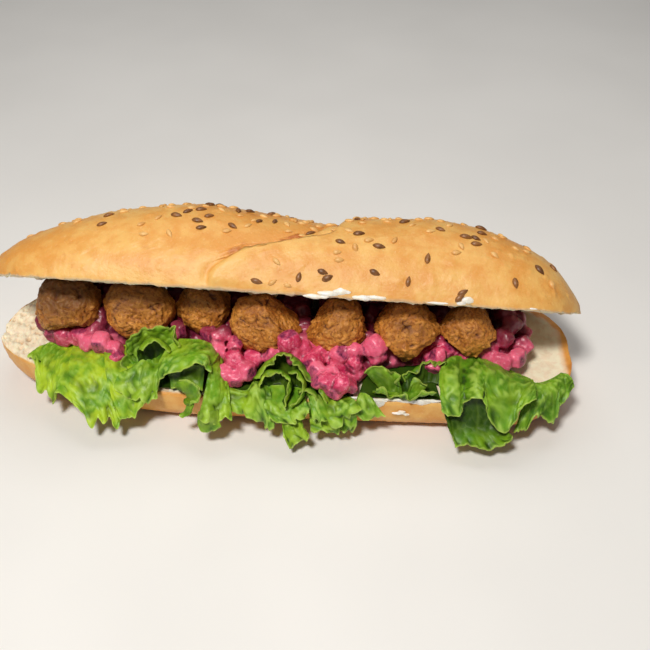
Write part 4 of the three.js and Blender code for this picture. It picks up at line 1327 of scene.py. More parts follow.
SMALL_LEAVES = leaf(
    0.3, (33, 66),
    # A sheet that stands up at the left, with a notch beside it.
    blade(
        21, 0.9, 2.4,
        (41, -27, 20.6, 38.5, -26, 23, 37, -25.2, 25, 36.2, -25.4, 26, 36.2, -26.4, 26.4),
        (43.6, -28, 20.6, 41.6, -26.6, 23, 40.2, -25.6, 25.6, 39.8, -25, 27.6, 40, -25.2, 29),
        (46, -29, 20.6, 45.4, -27.8, 23, 45, -26.6, 25.6, 44.8, -25.4, 28, 45, -25, 29.8),
        (48.4, -29.6, 20.6, 48.6, -28.8, 22.8, 48.6, -27.8, 25, 48.4, -26.8, 27, 48.2, -26.2, 28.6),
        (50.4, -30.4, 20.4, 50.6, -30, 21.6, 50.4, -29.6, 23, 50.1, -29.4, 24.2, 49.6, -29.4, 25.2),
        deep=0.6,
    ),
    # A taller one at the right that bends over a dark hollow.
    blade(
        22, 0.8, 2.4,
        (52, -29, 20.4, 51.4, -27.8, 22.4, 51, -27, 24, 50.8, -27, 25, 51.2, -27.4, 25.6),
        (55, -28, 20.6, 54.4, -26.4, 23.4, 54, -25.2, 25.8, 53.8, -24.8, 27.4, 54.2, -25.6, 28.4),
        (59, -24, 20.6, 59.2, -21.6, 24.6, 59.4, -20.6, 27.6, 59.2, -21.4, 29.4, 58.8, -23.4, 30),
        (62.5, -23, 20.6, 63.6, -20.6, 24.8, 64.6, -19.4, 28, 64.6, -20, 30, 63.8, -22.2, 31),
        (66, -24, 20.4, 67.4, -22, 24, 68, -21, 27, 67.6, -21.4, 29, 66.8, -23.2, 30),
        deep=1.0,
    ),
    # A small leaf in front of the hollow.
    blade(
        38, 0.8, 2,
        (52.6, -29.4, 20.6, 53.4, -28.4, 23, 54.2, -27.6, 25, 54.8, -27.4, 26.4),
        (55.6, -29, 20.6, 56.6, -28, 23.4, 57.6, -27.2, 25.4, 58.2, -27, 26.8),
        (58.6, -29.4, 20.4, 59.6, -28.8, 22.4, 60.4, -28.4, 24, 61, -28.4, 25),
    ),
    # Small lobes along the rim in front of them.
    blade(
        23, 0.5, 1.8,
        (38.6, -29, 20.4, 39, -31.4, 21.6, 39.5, -32.6, 23.2, 40, -33, 25),
        (42.4, -29, 20.4, 42.6, -31.8, 22, 43, -33, 24, 43.4, -33.4, 26.4),
        (46, -29, 20.4, 46, -32, 21.4, 46, -33.6, 22.4, 46, -34.2, 23.4),
        (50, -29, 20.4, 50, -32, 21.6, 50.2, -33.6, 22.8, 50.6, -34, 24.2),
        (54, -29, 20.4, 54, -32, 21.2, 54, -33.8, 22, 54, -34.6, 22.8),
        (58, -29, 20.4, 58, -31.6, 21.8, 58.4, -33.2, 23.2, 58.8, -33.8, 24.8),
        (62, -29, 20.4, 62.4, -31.4, 22.2, 63, -32.8, 24, 63.6, -33.2, 26),
    ),
    # The small pointed leaf that hangs over the crust.
    blade(
        24, 0.5, 1.6,
        (33.4, -31, 21, 32.4, -34, 21, 32, -36, 19, 32, -37, 17, 32.4, -37.6, 15),
        (35.4, -31, 21, 35.2, -34.4, 20.4, 35, -36.4, 17.8, 35.2, -37.4, 15.2, 35.6, -38, 13),
        (37.4, -32, 20.6, 38.2, -34.8, 19.6, 38.8, -36.4, 17.4, 39.4, -37.2, 15.2, 40, -37.6, 13.4),
        (38.4, -32.6, 20.4, 40, -34.8, 19.2, 41.4, -36, 17.6, 42.8, -36.8, 16, 44.4, -37.2, 14.8),
    ),
)

DARK_LEAF = leaf(
    0.16, (70, 97),
    # The left lobe, which ends in an arch over a dark pocket.
    blade(
        31, 0.4, 1,
        (66.5, -18, 26, 65.4, -24, 27.6, 65.4, -30, 26, 65.8, -35, 23.6, 66.4, -39, 20.6),
        (68.6, -17, 28, 68, -24.4, 29.4, 68, -32, 28, 68.2, -37.2, 24.6, 68.6, -41, 20),
        (72, -15.5, 28.6, 71.6, -24, 30, 71.8, -32, 28.8, 72.2, -37, 25, 73, -40.6, 19.8),
        (76, -14.5, 27.6, 75.4, -22, 27.8, 74.8, -29, 26.8, 74.6, -33.4, 25.4, 74.8, -37, 23.8),
        (79.5, -13, 27, 79, -22, 30, 78.6, -30, 30.6, 78.4, -34.6, 29.4, 78.2, -38, 27.4),
        (82, -12, 26, 82, -21.5, 29.4, 81.8, -30, 30.4, 81.8, -35, 29, 81.7, -38, 26.8),
    ),
    # The middle fold, with a tip that points to the right.
    blade(
        32, 0.4, 1.4,
        (81, -12, 26.2, 81.4, -21.5, 30, 81.6, -30, 31, 81.8, -35, 29.6, 82, -38.2, 26.8),
        (84, -11, 24.6, 84.2, -20.5, 29.2, 84, -30, 30.4, 83.6, -36, 27, 83.3, -40, 22.2),
        (87.5, -11.5, 23.4, 87.8, -20, 28, 87.6, -30, 29.2, 87, -37.6, 25, 86.2, -42.6, 17.8),
        (91, -13, 22.6, 91.4, -20.5, 26.8, 91.6, -30, 28, 91.2, -38.4, 23.6, 90.6, -44.4, 15.2),
        (94, -15, 22, 94.6, -21, 25.8, 95, -29.5, 27.2, 94.8, -37.4, 23.6, 93.2, -43.6, 17.4),
        (97, -17, 21.8, 97.8, -21.8, 25, 98, -28.5, 27, 97.2, -35.4, 25.6, 95.4, -40.8, 23.4),
        (99.6, -19, 21.6, 100.6, -22.6, 24.4, 101, -27.6, 27, 100.8, -33.4, 27.4, 99.8, -38.6, 25.8),
        (101.6, -20.5, 21.4, 102.8, -23, 23.6, 103.2, -26.6, 26, 103.2, -31.4, 27.4, 102.2, -36.6, 27.4),
    ),
    # The lower loop, deep behind the arch of the folds above.
    blade(
        33, 0.4, 2.2,
        (67.4, -34, 20, 67.6, -36.4, 17.4, 68.2, -38.6, 15.4, 69.6, -41, 13, 71.6, -43.4, 11),
        (71, -33.6, 22, 71.2, -35.4, 17, 71.6, -38, 13.4, 71.8, -42, 10.4, 72.1, -46, 7.6),
        (75, -33.2, 25, 75.4, -34.4, 19, 75.8, -37, 13, 76.4, -41, 10.4, 77.2, -46, 9.6),
        (79.4, -33, 26.6, 79.8, -34.2, 20, 80.4, -37, 13, 81, -41.6, 9.8, 81.8, -47, 8.4),
        (83.6, -33.2, 26, 84.2, -34.6, 19.4, 85, -37.6, 12.6, 86, -42.2, 9.6, 87.2, -47.4, 8),
        (87.6, -33.6, 24, 88.4, -35.6, 18, 89.4, -39, 13, 90.6, -42.8, 10.6, 92, -46.4, 10.4),
        (91, -34, 21, 91.8, -37, 17, 92.6, -40, 14.4, 93.2, -42.8, 13.4, 93.6, -45, 14),
        deep=1.0,
    ),
    # The right wing.
    blade(
        34, 0.4, 3,
        (98, -22.5, 21.4, 99.4, -26, 22.4, 99.4, -30, 20, 98, -34.4, 15, 96.2, -38.2, 10.4),
        (100.6, -22.6, 21.4, 102, -26, 22.6, 102.2, -30, 20.6, 101.2, -34.4, 15.2, 99.8, -38.2, 10),
        (103.6, -22.6, 21.4, 105, -26, 23, 105.4, -29.6, 21.4, 104.6, -33.2, 17.6, 103.4, -36, 14.4),
        (106.8, -22.2, 21.4, 108.4, -25.4, 23.2, 109, -28.6, 21.6, 108.4, -32, 18, 107.4, -34.6, 14.8),
        (110, -21, 21.6, 111.6, -24.2, 23.4, 112.6, -27.6, 21.2, 112.6, -31.6, 16, 112, -35.2, 10.2),
        (112.4, -19.6, 21.8, 114, -22.6, 23.6, 114.8, -25.4, 22, 114.4, -28.4, 19, 113.4, -31, 15.6),
        (114.6, -18, 22, 116.4, -20.4, 23.6, 117.6, -22.8, 22.6, 117.4, -25.4, 20.4, 116.2, -28, 17.4),
        (116, -16.6, 22, 118.2, -18.6, 23.4, 119.8, -20.4, 23, 120.4, -21.8, 22.4, 120.6, -23.2, 21.4),
    ),
)

LEAVES = (LEFT_END_LEAF, ROLLED_LEAF, LOOPED_LEAF, SMALL_LEAVES, DARK_LEAF)

# How long a ruffle of the margin is, how large the net of small veins is, how far apart the
# midribs are, and how far the bed of a leaf lies over the cut.
RUFFLE_LENGTH = 8.5
NET_SIZE = 3.6
MIDRIB_PITCH = 10
LEAF_BED_HEIGHT = 1.2


def through(points, shares):
    """Smooth curves through the points of the first axis, read at shares from 0 to 1."""
    points = np.asarray(points, dtype=float)
    last = len(points) - 1
    spot = np.clip(shares * last, 0, last - 1e-6)
    start = np.floor(spot).astype(int)
    part = (spot - start).reshape((-1,) + (1,) * (points.ndim - 1))
    before = points[np.maximum(start - 1, 0)]
    a = points[start]
    b = points[start + 1]
    after = points[np.minimum(start + 2, last)]
    return 0.5 * (
        2 * a
        + (b - before) * part
        + (2 * before - 5 * a + 4 * b - after) * part**2
        + (3 * a - before - 3 * b + after) * part**3
    )


def hollow(surface, reach=5):
    """How far a grid of points lies below the average of its surroundings."""
    padded = np.pad(surface, ((reach, reach), (reach, reach), (0, 0)), mode="edge")
    rows, columns = surface.shape[:2]
    steps = range(2 * reach + 1)
    near = [padded[i:i + rows, reach:reach + columns] for i in steps]
    near += [padded[reach:reach + rows, j:j + columns] for j in steps]
    return ((sum(near) / len(near) - surface) * normals_over(surface)).sum(axis=-1)


def toothed(length, count, seed):
    """Pointed teeth with round bays between them along a margin, from about -1 to 1."""
    line = np.stack([np.linspace(0, length, count), np.full(count, 3.7 * seed), np.zeros(count)], axis=1)
    line[:, 0] += 1.5 * lumps(line, 9, seed + 1)
    wide = 1 - 2.4 * np.abs(lumps(line, 7, seed))
    narrow = 1 - 2.6 * np.abs(lumps(line, 2.8, seed + 2))
    return np.maximum(0.6 * wide + 0.4 * narrow, -1)


def cut_out(ribs, teeth, seed, spacing):
    """A blade as a grid of points with its toothed margin, and where each point lies on it."""
    margin = np.linalg.norm(np.diff(ribs[:, -1], axis=0), axis=1).sum()
    straight = np.linalg.norm(ribs[-1, -1] - ribs[0, -1])
    width = max(np.linalg.norm(np.diff(ribs[:, 2], axis=0), axis=1).sum(), straight)
    reach = np.linalg.norm(np.diff(ribs, axis=1), axis=2).sum(axis=1).mean()
    rows = int(np.clip(max(width, margin) / spacing, 26, 130))
    columns = int(np.clip(reach / spacing, 18, 64))
    along = np.linspace(0, 1, rows)
    out = np.linspace(0, 1, columns)
    u, v = np.meshgrid(along, out, indexing="ij")

    # The margin's teeth: a blade is drawn in or let out along its own ribs.
    limit = 1 + teeth / reach * (toothed(width, rows, seed) - 0.45)
    far = v * reach * limit[:, None]
    flat = np.stack([u.ravel() * width, far.ravel(), np.full(u.size, 5.0 * seed)], axis=1)
    curves = through(ribs, along)
    surface = np.stack([through(curves[i], out * min(limit[i], 1.0)) for i in range(rows)])
    spare = np.maximum(limit - 1, 0)[:, None, None]
    surface += (surface[:, -1:] - surface[:, -2:-1]) * (columns - 1) * spare * (v**3)[..., None]
    return surface, flat, u, v, width, reach


def blade_sheet(plan, settings):
    """The blade's middle surface with its ruffles, puckers and veins, and its painted values."""
    seed = 400 + 10 * plan["seed"]
    frill = plan["frill"]
    deep = plan["deep"]
    surface, flat, u, v, width, reach = cut_out(plan["ribs"], plan["teeth"], seed, settings.spacing / MM)

    def noise(size, salt):
        return lumps(flat, size, seed + salt).reshape(u.shape)

    # Ruffles that grow towards the margin, and the puckered skin between the veins.
    normal = normals_over(surface)
    loose = smooth_step(v, 0.62, 1.0)
    phase = 2 * np.pi * u * width / RUFFLE_LENGTH + 2.4 * noise(14, 3)
    ruffle = 1.5 * loose * np.sin(phase) + 0.9 * loose**2 * np.sin(2.3 * phase + 3 * noise(8, 5))
    broad = 1.3 * smooth_step(v, 0, 0.5) * noise(9, 8)
    near, second = cells_apart(flat, NET_SIZE, seed + 6)
    net = (second - near).reshape(u.shape)
    count = max(3.0, width / MIDRIB_PITCH)
    main = (u - 0.5) * count * blend(0.8, 1, v) + 0.25 * noise(12, 4)
    beside = np.abs(main - np.round(main)) * width / count
    midribs = np.exp(-((beside / 0.5) ** 2)) * smooth_step(v, 1.0, 0.5)
    creased = 1.1 * (0.3 - np.abs(noise(8, 7))) + 0.7 * (0.3 - np.abs(noise(3.8, 9)))
    pucker = creased + 0.3 * smooth_step(net, 0, 0.5) + 0.12 * noise(1.6, 11)
    fade = smooth_step(v, 0, 0.12)
    calm = min(0.5 + frill, 1)
    height = frill * (ruffle + broad) + calm * fade * (pucker - 0.2 - 0.25 * midribs)
    surface = surface + normal * height[..., None]
    surface[..., 2] = np.maximum(surface[..., 2], 0.6)

    # Painted shade in low folds and hollows, darkest where a blade stands over a hollow; painted highlight
    # on the crests; the veins fade where shade is painted.
    below = hollow(surface)
    sunk = np.maximum(smooth_step(height, 0.3, -1.6), smooth_step(below, 0.03, 0.42))
    fold = np.maximum(sunk, deep * smooth_step(v, 0.95, 0.5))
    from_margin = (1 - v) * reach
    return surface, {
        "rim": np.exp(-((from_margin / 0.7) ** 2)),
        "vein": np.maximum(midribs, 0.6 * smooth_step(net, 0.12, 0.0)) * (1 - 0.7 * fold),
        "crest": smooth_step(below, -0.03, -0.36) * (1 - deep),
        "fold": fold,
    }


def bed_sheet(span):
    """The part of a leaf that lies flat under the salad, painted all in shade."""
    left, right = span
    x = np.linspace(left, right, 26)[:, None]
    share = np.linspace(0, 1, 14)[None, :]
    y = blend(2.0, lower_front(x) + 1.5, share)
    middle = (left + right) / 2
    narrowed = blend(middle + 0.6 * (x - middle), x, share)
    z = cut_height(y) + LEAF_BED_HEIGHT + 0.0 * x
    surface = np.stack([narrowed + 0 * y, y, z], axis=-1)
    surface[..., 2] += 0.25 * lumps(surface.reshape(-1, 3), 6, 390).reshape(z.shape)
    zero = np.zeros(z.shape)
    return surface, {"rim": zero, "vein": zero, "crest": zero, "fold": zero + 1}


def thick_sheet(surface, thickness):
    """A closed thin body round a grid of points, with the thickness easing off at its edges."""
    rows, columns = surface.shape[:2]
    from_edge = np.minimum.reduce([
        np.broadcast_to(np.arange(columns)[::-1][None, :], (rows, columns)),
        np.broadcast_to(np.arange(rows)[:, None], (rows, columns)),
        np.broadcast_to(np.arange(rows)[::-1][:, None], (rows, columns)),
    ])
    half = 0.5 * thickness * np.minimum(0.55 + 0.45 * from_edge, 1)[..., None]
    normal = normals_over(surface)
    upper = (surface + normal * half).reshape(-1, 3)
    lower = (surface - normal * half).reshape(-1, 3)
    count = rows * columns
    edge, after = border(rows, columns)
    wall = np.stack([after, edge, edge + count, after + count], axis=1)
    faces = [sheet_faces(rows, columns), sheet_faces(rows, columns, count)[:, ::-1], wall]
    return np.concatenate([upper, lower]), np.concatenate(faces)


def build_leaf(index, settings, finish):
    plan = LEAVES[index]
    points = []
    faces = []
    painted = {"rim": [], "vein": [], "crest": [], "fold": [], "young": []}
    start = 0
    sheets = [bed_sheet(plan["span"])]
    sheets += [blade_sheet(blade_plan, settings) for blade_plan in plan["blades"]]
    for surface, values in sheets:
        body, body_faces = thick_sheet(surface, settings.thickness / MM)
        points.append(body)
        faces.append(body_faces + start)
        start += len(body)
        for name, value in values.items():
            painted[name].append(np.tile(value.ravel(), 2))
        painted["young"].append(plan["young"] + 0.16 * lumps(body, 14, 470 + index))
    piece = make_piece(f"lettuce_{index + 1}_leaf", np.concatenate(points), faces, finish)
    for name, values in painted.items():
        paint(piece, name, np.concatenate(values))
    dress(piece, "lettuce", f"lettuce_leaf_{index + 1}")
    return piece


# ---- Seeds and spread ----

# Flax seeds on the side that opens: place along the loaf, turn up from the rim, lean in degrees.
FLAX = (
    (-72, 0.84, 10), (-71, 1.08, 20), (-43, 0.93, -15), (-39, 1.03, 30), (-34, 0.82, -8),
    (-34, 1.1, 15), (-30, 0.94, 25), (-32, 0.72, 12), (-28, 1.4, 40), (-20, 0.82, -30),
    (-15, 1.3, 5), (-10, 1.01, 60), (-4, 1.08, 80), (11, 0.86, 20), (23, 0.63, -25),
    (30, 0.82, 10), (38, 0.58, -10), (17, 0.23, -20), (19, 0.17, 30), (8, 0.16, 75),
    (-8, 0.09, -15), (37, 0.26, -25), (50, 0.19, 75), (48, 1.17, 15), (62, 0.98, -30),
    (72, 0.89, 5), (76, 0.91, -20), (76, 0.79, 12), (79, 1.1, 10), (101, 0.66, -40),
    (108, 0.96, -55), (91, 0.31, -80), (71, 0.12, 25), (70, 0.07, 50), (57, 0.47, 80),
)

# Sesame seeds there: they lie mostly along the ridge.
SESAME = (
    (-92, 1.3, 5), (-54, 0.59, 0), (-56, 0.77, 20), (-44, 0.61, -60), (-60, 1.4, 10),
    (-42, 1.5, 15), (-50, 0.89, 50), (-22, 0.73, 10), (-14, 0.87, 40), (1, 1.05, -50),
    (-1, 0.31, -45), (4, 0.07, -20), (-2, 0.09, 30), (2, 0.87, 0), (8, 0.82, 20), (22, 0.47, 0),
    (23, 0.38, 5), (29, 0.54, -65), (44, 0.7, 60), (36, 1.4, 10), (34, 0.68, 5), (58, 0.91, 10),
    (70, 0.7, -60), (83, 0.66, -30), (98, 1.2, -30), (106, 0.45, -60), (68, 0.59, 10),
    (80, 0.91, -60), (58, 1.4, 0), (46, 1.3, 20), (40, 1.3, -20), (26, 0.9, -30), (20, 1.0, 30),
    (-66, 1.2, 10), (-26, 1.15, -20), (14, 1.2, 50), (92, 0.95, -25), (88, 1.2, 20),
    (66, 1.15, 40), (-84, 1.1, 20), (-18, 1.08, 10), (-9, 1.2, -20), (-4, 1.35, 30), (7, 1.15, 15),
    (12, 1.05, -10), (18, 1.35, 20), (-33, 1.25, -15), (-38, 1.15, 20), (-47, 1.2, 5),
    (31, 1.12, -15), (51, 1.05, 25), (54, 1.28, -10), (63, 1.3, 15), (84, 1.05, -20),
    (97, 1.0, 10), (-12, 1.02, 40), (3, 1.25, -35), (-27, 1.32, 0), (26, 1.22, 12),
    (41, 1.18, -25),
)


def middle_for(x, turn):
    """The loft's own place along the loaf for a point of the crust at x."""
    middle = x - float(slash_place(turn))
    for _ in range(40):
        middle = 0.5 * middle + 0.5 * (x - slant(middle) * float(slash_place(turn)))
    return middle


def on_the_crust(tree, x, turn):
    """The place, outward direction and lengthwise direction on the finished upper crust."""
    middle = middle_for(x, turn)
    step = 0.02
    here = crust_point(np.array(middle), np.array(turn))
    up = crust_point(np.array(middle), np.array(turn + step)) - here
    along = crust_point(np.array(middle + 1), np.array(turn)) - here
    out = np.cross(along, up)
    out = out / np.linalg.norm(out)
    spin = np.array(lid_matrix().to_3x3())
    start = Vector(tipped_up(here + 6 * out) * MM)
    ray = Vector(-(spin @ out))
    place, normal, _, _ = tree.ray_cast(start, ray, 0.014)
    if place is None:
        return None
    return np.array(place) / MM, np.array(normal), spin @ (along / np.linalg.norm(along))


def seed_shape(length, width, height, rings=11, around=12):
    """A seed along X: blunt at one end and pointed at the other, flat underneath."""
    share = np.linspace(0, 1, rings)[:, None]
    angle = np.linspace(0, 2 * np.pi, around, endpoint=False)[None, :]
    belly = np.maximum(np.sin(np.pi * share**0.82) ** 0.75, 0.04)
    x = (share - 0.5) * length + 0 * angle
    y = 0.5 * width * belly * np.cos(angle)
    z = height * belly * np.sin(angle) * np.where(np.sin(angle) > 0, 1, 0.45)
    points = with_end_points(np.stack([x, y, z], axis=-1))
    quads, first_cap, last_cap = tube_faces(rings, around)
    return points, quads, np.concatenate([first_cap, last_cap])


def with_strewn(places, more, chance):
    """The places given, and more of them strewn over the ridge and the back."""
    spots = list(places)
    while len(spots) < len(places) + more:
        turn = chance.normal(1.62, 0.36)
        x = chance.normal(4, 52)
        if abs(x) < 108 and 1.2 < turn < 2.8:
            spots.append((x, turn, chance.uniform(-90, 90)))
    return spots


def build_seeds(name, places, more, sizes, seed, lift, finish):
    """Lays the seeds on the finished upper crust, `lift` above it, each turned a little."""
    lid = bpy.data.objects["bread_upper_crust"]
    tree = BVHTree.FromObject(lid, bpy.context.evaluated_depsgraph_get())
    chance = np.random.default_rng(seed)
    spots = with_strewn(places, more, chance)
    shape, quads, caps = seed_shape(*sizes)
    points = []
    quad_faces = []
    cap_faces = []
    shades = []
    for x, turn, lean in spots:
        found = on_the_crust(tree, x, turn)
        if found is None:
            continue
        place, out, along = found
        side = np.cross(out, along)
        side = side / np.linalg.norm(side)
        along = np.cross(side, out)
        angle = math.radians(lean + chance.uniform(-8, 8))
        head = math.cos(angle) * along + math.sin(angle) * side
        across = np.cross(out, head)
        turn_to = np.stack([head, across, out], axis=1)
        size = chance.uniform(0.88, 1.12)
        body = (shape * size * np.array([1, chance.uniform(0.88, 1.1), 1])) @ turn_to.T
        quad_faces.append(quads + len(points) * len(shape))
        cap_faces.append(caps + len(points) * len(shape))
        points.append(body + place + out * lift)
        shades.append(np.full(len(shape), chance.uniform()))
    faces = [np.concatenate(quad_faces), np.concatenate(cap_faces)]
    piece = make_piece(name, np.concatenate(points), faces, finish)
    paint(piece, "shade", np.concatenate(shades))
    dress(piece, "crust")
    return piece


# Smears of spread along the lid's edge: place along the loaf, turn up from the rim, length, how
# far it stands out and how far it hangs.
EDGE_SMEARS = (
    (15, 0.0, 10, 0.9, 1.8), (20, 0.025, 9, 1.1, 2.2), (24.5, 0.05, 7, 1.2, 2.8),
    (33, -0.01, 8, 1.2, 2.2), (38, 0.02, 9, 1.0, 1.7), (62, 0.01, 8, 0.5, 1.0),
    (73, 0.05, 6, 1.1, 2.8), (70.5, 0.02, 5, 0.7, 1.6), (98, 0.02, 5, 0.4, 0.8),
)

# Smears on the lower rim and crust: how thick they are, and each one's place, length and height.
SMEAR_THICKNESS = 0.6
RIM_SMEARS = (
    (34, -32.3, 19.5, 9, 1.8), (37, -32.8, 18.4, 8, 3.4), (41, -33.0, 17.2, 5, 3.4),
    (39, -32.8, 18.8, 12, 2.2), (48, -32.5, 19.4, 10, 1.2), (54, -32.6, 19.1, 13, 2.2),
    (58, -32.7, 18.7, 9, 2.6), (62, -32.4, 19.3, 9, 1.6), (49.5, -33.7, 13, 5, 1.2),
    (52.5, -33.7, 12.4, 2.4, 1.0), (50.8, -33.6, 13.8, 3, 0.8),
)


def blob(centre, size, seed, steps=11):
    """A soft lump of spread."""
    way, faces = round_grid(steps)
    points = way * np.array(size)
    points = points * (1 + 0.4 * rough(points + seed * 9, max(size) * 0.6, seed, 3))[:, None]
    return points + np.array(centre), faces


def build_spread(finish):
    spin = np.array(lid_matrix().to_3x3())
    points = []
    faces = []
    for number, (x, turn, length, out, hang) in enumerate(EDGE_SMEARS):
        edge = crust_point(np.array(middle_for(x, turn)), np.array(turn))
        body, body_faces = blob((0, 0, 0), (length / 2, out, hang / 2), 500 + number)
        faces.append(body_faces + len(points) * len(body))
        points.append(body @ spin.T + tipped_up(edge + np.array([0, 0.3, -0.1])))
    for number, (x, y, z, length, height) in enumerate(RIM_SMEARS):
        body, body_faces = blob((x, y, z), (length / 2, SMEAR_THICKNESS, height / 2), 520 + number)
        faces.append(body_faces + len(points) * len(body))
        points.append(body)
    piece = make_piece("spread_smears", np.concatenate(points), faces, finish)
    dress(piece, "crust")
    return piece


# ---- The stage: floor, sky, lights and camera ----

# The floor, in millimetres: how far it reaches each way, and how far below the loaf it lies.
FLOOR_REACH = 1500
FLOOR_DEPTH = 0.2

# The lights and the camera, in metres and radians, and the lens in millimetres.
LIT_PLACE = (0, -0.01, 0.03)
KEY_PLACE = (-0.12, -0.40, 0.72)
TOP_PLACE = (0.05, 0.30, 0.75)
VIEWED_PLACE = (0.018, 0, 0.030)
CAMERA_DISTANCE = 0.380
CAMERA_AZIMUTH = math.radians(2.6)
CAMERA_ELEVATION = math.radians(41)
CAMERA_LENS = 49.67


def build_floor():
    finish = Finish("pale floor")
    colour = finish.mix(finish.patches(120, 2, 0.3, 0.7), seen(236, 234, 231), seen(241, 239, 236))
    material = finish.done(colour, 0.7)
    count = 30
    line = np.linspace(-FLOOR_REACH, FLOOR_REACH, count)
    x, y = np.meshgrid(line, line, indexing="ij")
    points = np.stack([x, y, np.full_like(x, -FLOOR_DEPTH)], axis=-1).reshape(-1, 3)
    floor = make_piece("floor", points, [sheet_faces(count, count)], material)


def build_sky(strength):
    world = bpy.data.worlds.new("soft sky")
    world.use_nodes = True
    sky = next(n for n in world.node_tree.nodes if n.type == "BACKGROUND")
    sky.inputs["Color"].default_value = (1.0, 1.0, 1.0, 1)
    sky.inputs["Strength"].default_value = strength
    bpy.context.scene.world = world


def area_light(name, place, size, power, tint):
    data = bpy.data.lights.new(name, "AREA")
    data.shape = "RECTANGLE"
    data.size, data.size_y = size
    data.energy = power
    data.color = tint
    light = bpy.data.objects.new(name, data)
    light.location = place
    light.rotation_euler = (Vector(LIT_PLACE) - Vector(place)).to_track_quat("-Z", "Y").to_euler()
    bpy.context.scene.collection.objects.link(light)


def build_camera():
    data = bpy.data.cameras.new("camera")
    data.lens = CAMERA_LENS
    data.sensor_width = 36
    camera = bpy.data.objects.new("camera", data)
    back = Vector((
        math.sin(CAMERA_AZIMUTH) * math.cos(CAMERA_ELEVATION),
        -math.cos(CAMERA_AZIMUTH) * math.cos(CAMERA_ELEVATION),
        math.sin(CAMERA_ELEVATION),
    ))
    camera.location = Vector(VIEWED_PLACE) + back * CAMERA_DISTANCE
    camera.rotation_euler = (-back).to_track_quat("-Z", "Y").to_euler()
    bpy.context.scene.collection.objects.link(camera)
    bpy.context.scene.camera = camera


def build_stage(settings):
    build_floor()
    build_sky(settings.sky)
    bpy.context.scene.view_settings.view_transform = "Standard"
    area_light("key light", KEY_PLACE, (0.13, 0.10), settings.key_power, (1, 0.97, 0.92))
    area_light("top light", TOP_PLACE, (0.6, 0.4), settings.top_power, (1, 0.99, 0.97))
    build_camera()


# ---- Settings, in the words of the shop ----


def a_colour(name, description, red, green, blue):
    """A colour that the user can change, given as it looks on a screen."""
    return FloatVectorProperty(
        name=name, description=description, subtype="COLOR", default=seen(red, green, blue), min=0, max=1
    )


def a_count(name, description, default, least):
    return IntProperty(name=name, description=description, default=default, min=least)


def a_length(name, description, default, least):
    return FloatProperty(name=name, description=description, unit="LENGTH", default=default, min=least)


class BreadSettings(PropertyGroup):
    rings: a_count("Rings", "Rings along each half of the loaf", 370, 40)
    crust_steps: a_count("Crust steps", "Points round the crust", 120, 16)
    crumb_steps: a_count("Crumb steps", "Points across the cut", 46, 8)
    pale_crust: a_colour("Pale crust", "Crust that was least in the heat", 238, 187, 106)
    golden_crust: a_colour("Golden crust", "Most of the crust", 226, 157, 74)
    dark_crust: a_colour("Dark crust", "The best baked spots", 186, 106, 40)
    crumb: a_colour("Crumb", "The soft inside", 255, 244, 216)


class MeatballSettings(PropertyGroup):
    steps: a_count("Steps", "Points along each patch of a ball", 52, 8)
    brown: a_colour("Brown", "Fried skin", 192, 118, 42)
    golden: a_colour("Golden", "Lighter skin", 226, 152, 62)
    # The colour of the painted shade in the cracks.
    fissure_shade: a_colour("Fissure", "Deep in the cracks", 84, 38, 12)


class SaladSettings(PropertyGroup):
    voxel: a_length("Grain", "Finest shape kept in the heap", 0.0007, 0.0004)
    pitch: a_length("Pitch", "How far apart the dice lie", 0.0068, 0.004)
    pink: a_colour("Pink", "Thick dressing", 255, 122, 154)
    deep_pink: a_colour("Deep pink", "Thin dressing", 206, 44, 92)
    flesh: a_colour("Flesh", "Bare faces of the dice", 104, 26, 70)


class LettuceSettings(PropertyGroup):
    thickness: a_length("Thickness", "Thickness of a blade", 0.0006, 0.0002)
    spacing: a_length("Spacing", "How far apart the points of a blade lie", 0.00048, 0.0002)
    young_green: a_colour("Young green", "Inner leaves", 184, 212, 40)
    green: a_colour("Green", "Most of the lettuce", 108, 162, 26)
    dark_green: a_colour("Dark green", "Outer leaves", 66, 122, 14)


class SeedSettings(PropertyGroup):
    flax_length: a_length("Flax length", "Length of a flax seed", 0.0047, 0.001)
    sesame_length: a_length("Sesame length", "Length of a sesame seed", 0.0039, 0.001)
    more_flax: a_count("More flax", "Flax seeds strewn over the ridge", 26, 0)
    more_sesame: a_count("More sesame", "Sesame seeds strewn over the ridge", 110, 0)


class StageSettings(PropertyGroup):
    key_power: FloatProperty(
        name="Key light", description="Light from the front", unit="POWER", default=5.4, min=0
    )
    top_power: FloatProperty(
        name="Top light", description="Soft light from above", unit="POWER", default=1.5, min=0
    )
    sky: FloatProperty(name="Sky", description="Even light from all round", default=0.1, min=0)


SETTINGS = {
    "baguette_bread": BreadSettings,
    "baguette_meatballs": MeatballSettings,
    "baguette_salad": SaladSettings,
    "baguette_lettuce": LettuceSettings,
    "baguette_seeds": SeedSettings,
    "baguette_stage": StageSettings,
}


# ---- Operators ----


class BAGUETTE_OT_lower_half(Operator):
    """Bake the lower half, with its open crumb"""

    bl_idname = "baguette.lower_half"
    bl_label = "Lower Half"

    def execute(self, context):
        settings = context.scene.baguette_bread
        build_lower_half(settings, bread_finish(settings))
        return {"FINISHED"}


class BAGUETTE_OT_upper_half(Operator):
    """Bake the upper half, with its slash and torn edge"""

    bl_idname = "baguette.upper_half"
    bl_label = "Upper Half"

    def execute(self, context):
        settings = context.scene.baguette_bread
        build_upper_half(settings, bread_finish(settings))
        return {"FINISHED"}


class BAGUETTE_OT_meatballs(Operator):
    """Fry the row of meatballs"""

    bl_idname = "baguette.meatballs"
    bl_label = "Meatballs"

    def execute(self, context):
        settings = context.scene.baguette_meatballs
        finish = meat_finish(settings)
        for index in range(len(MEATBALLS)):
            build_meatball(index, settings, finish)
        return {"FINISHED"}


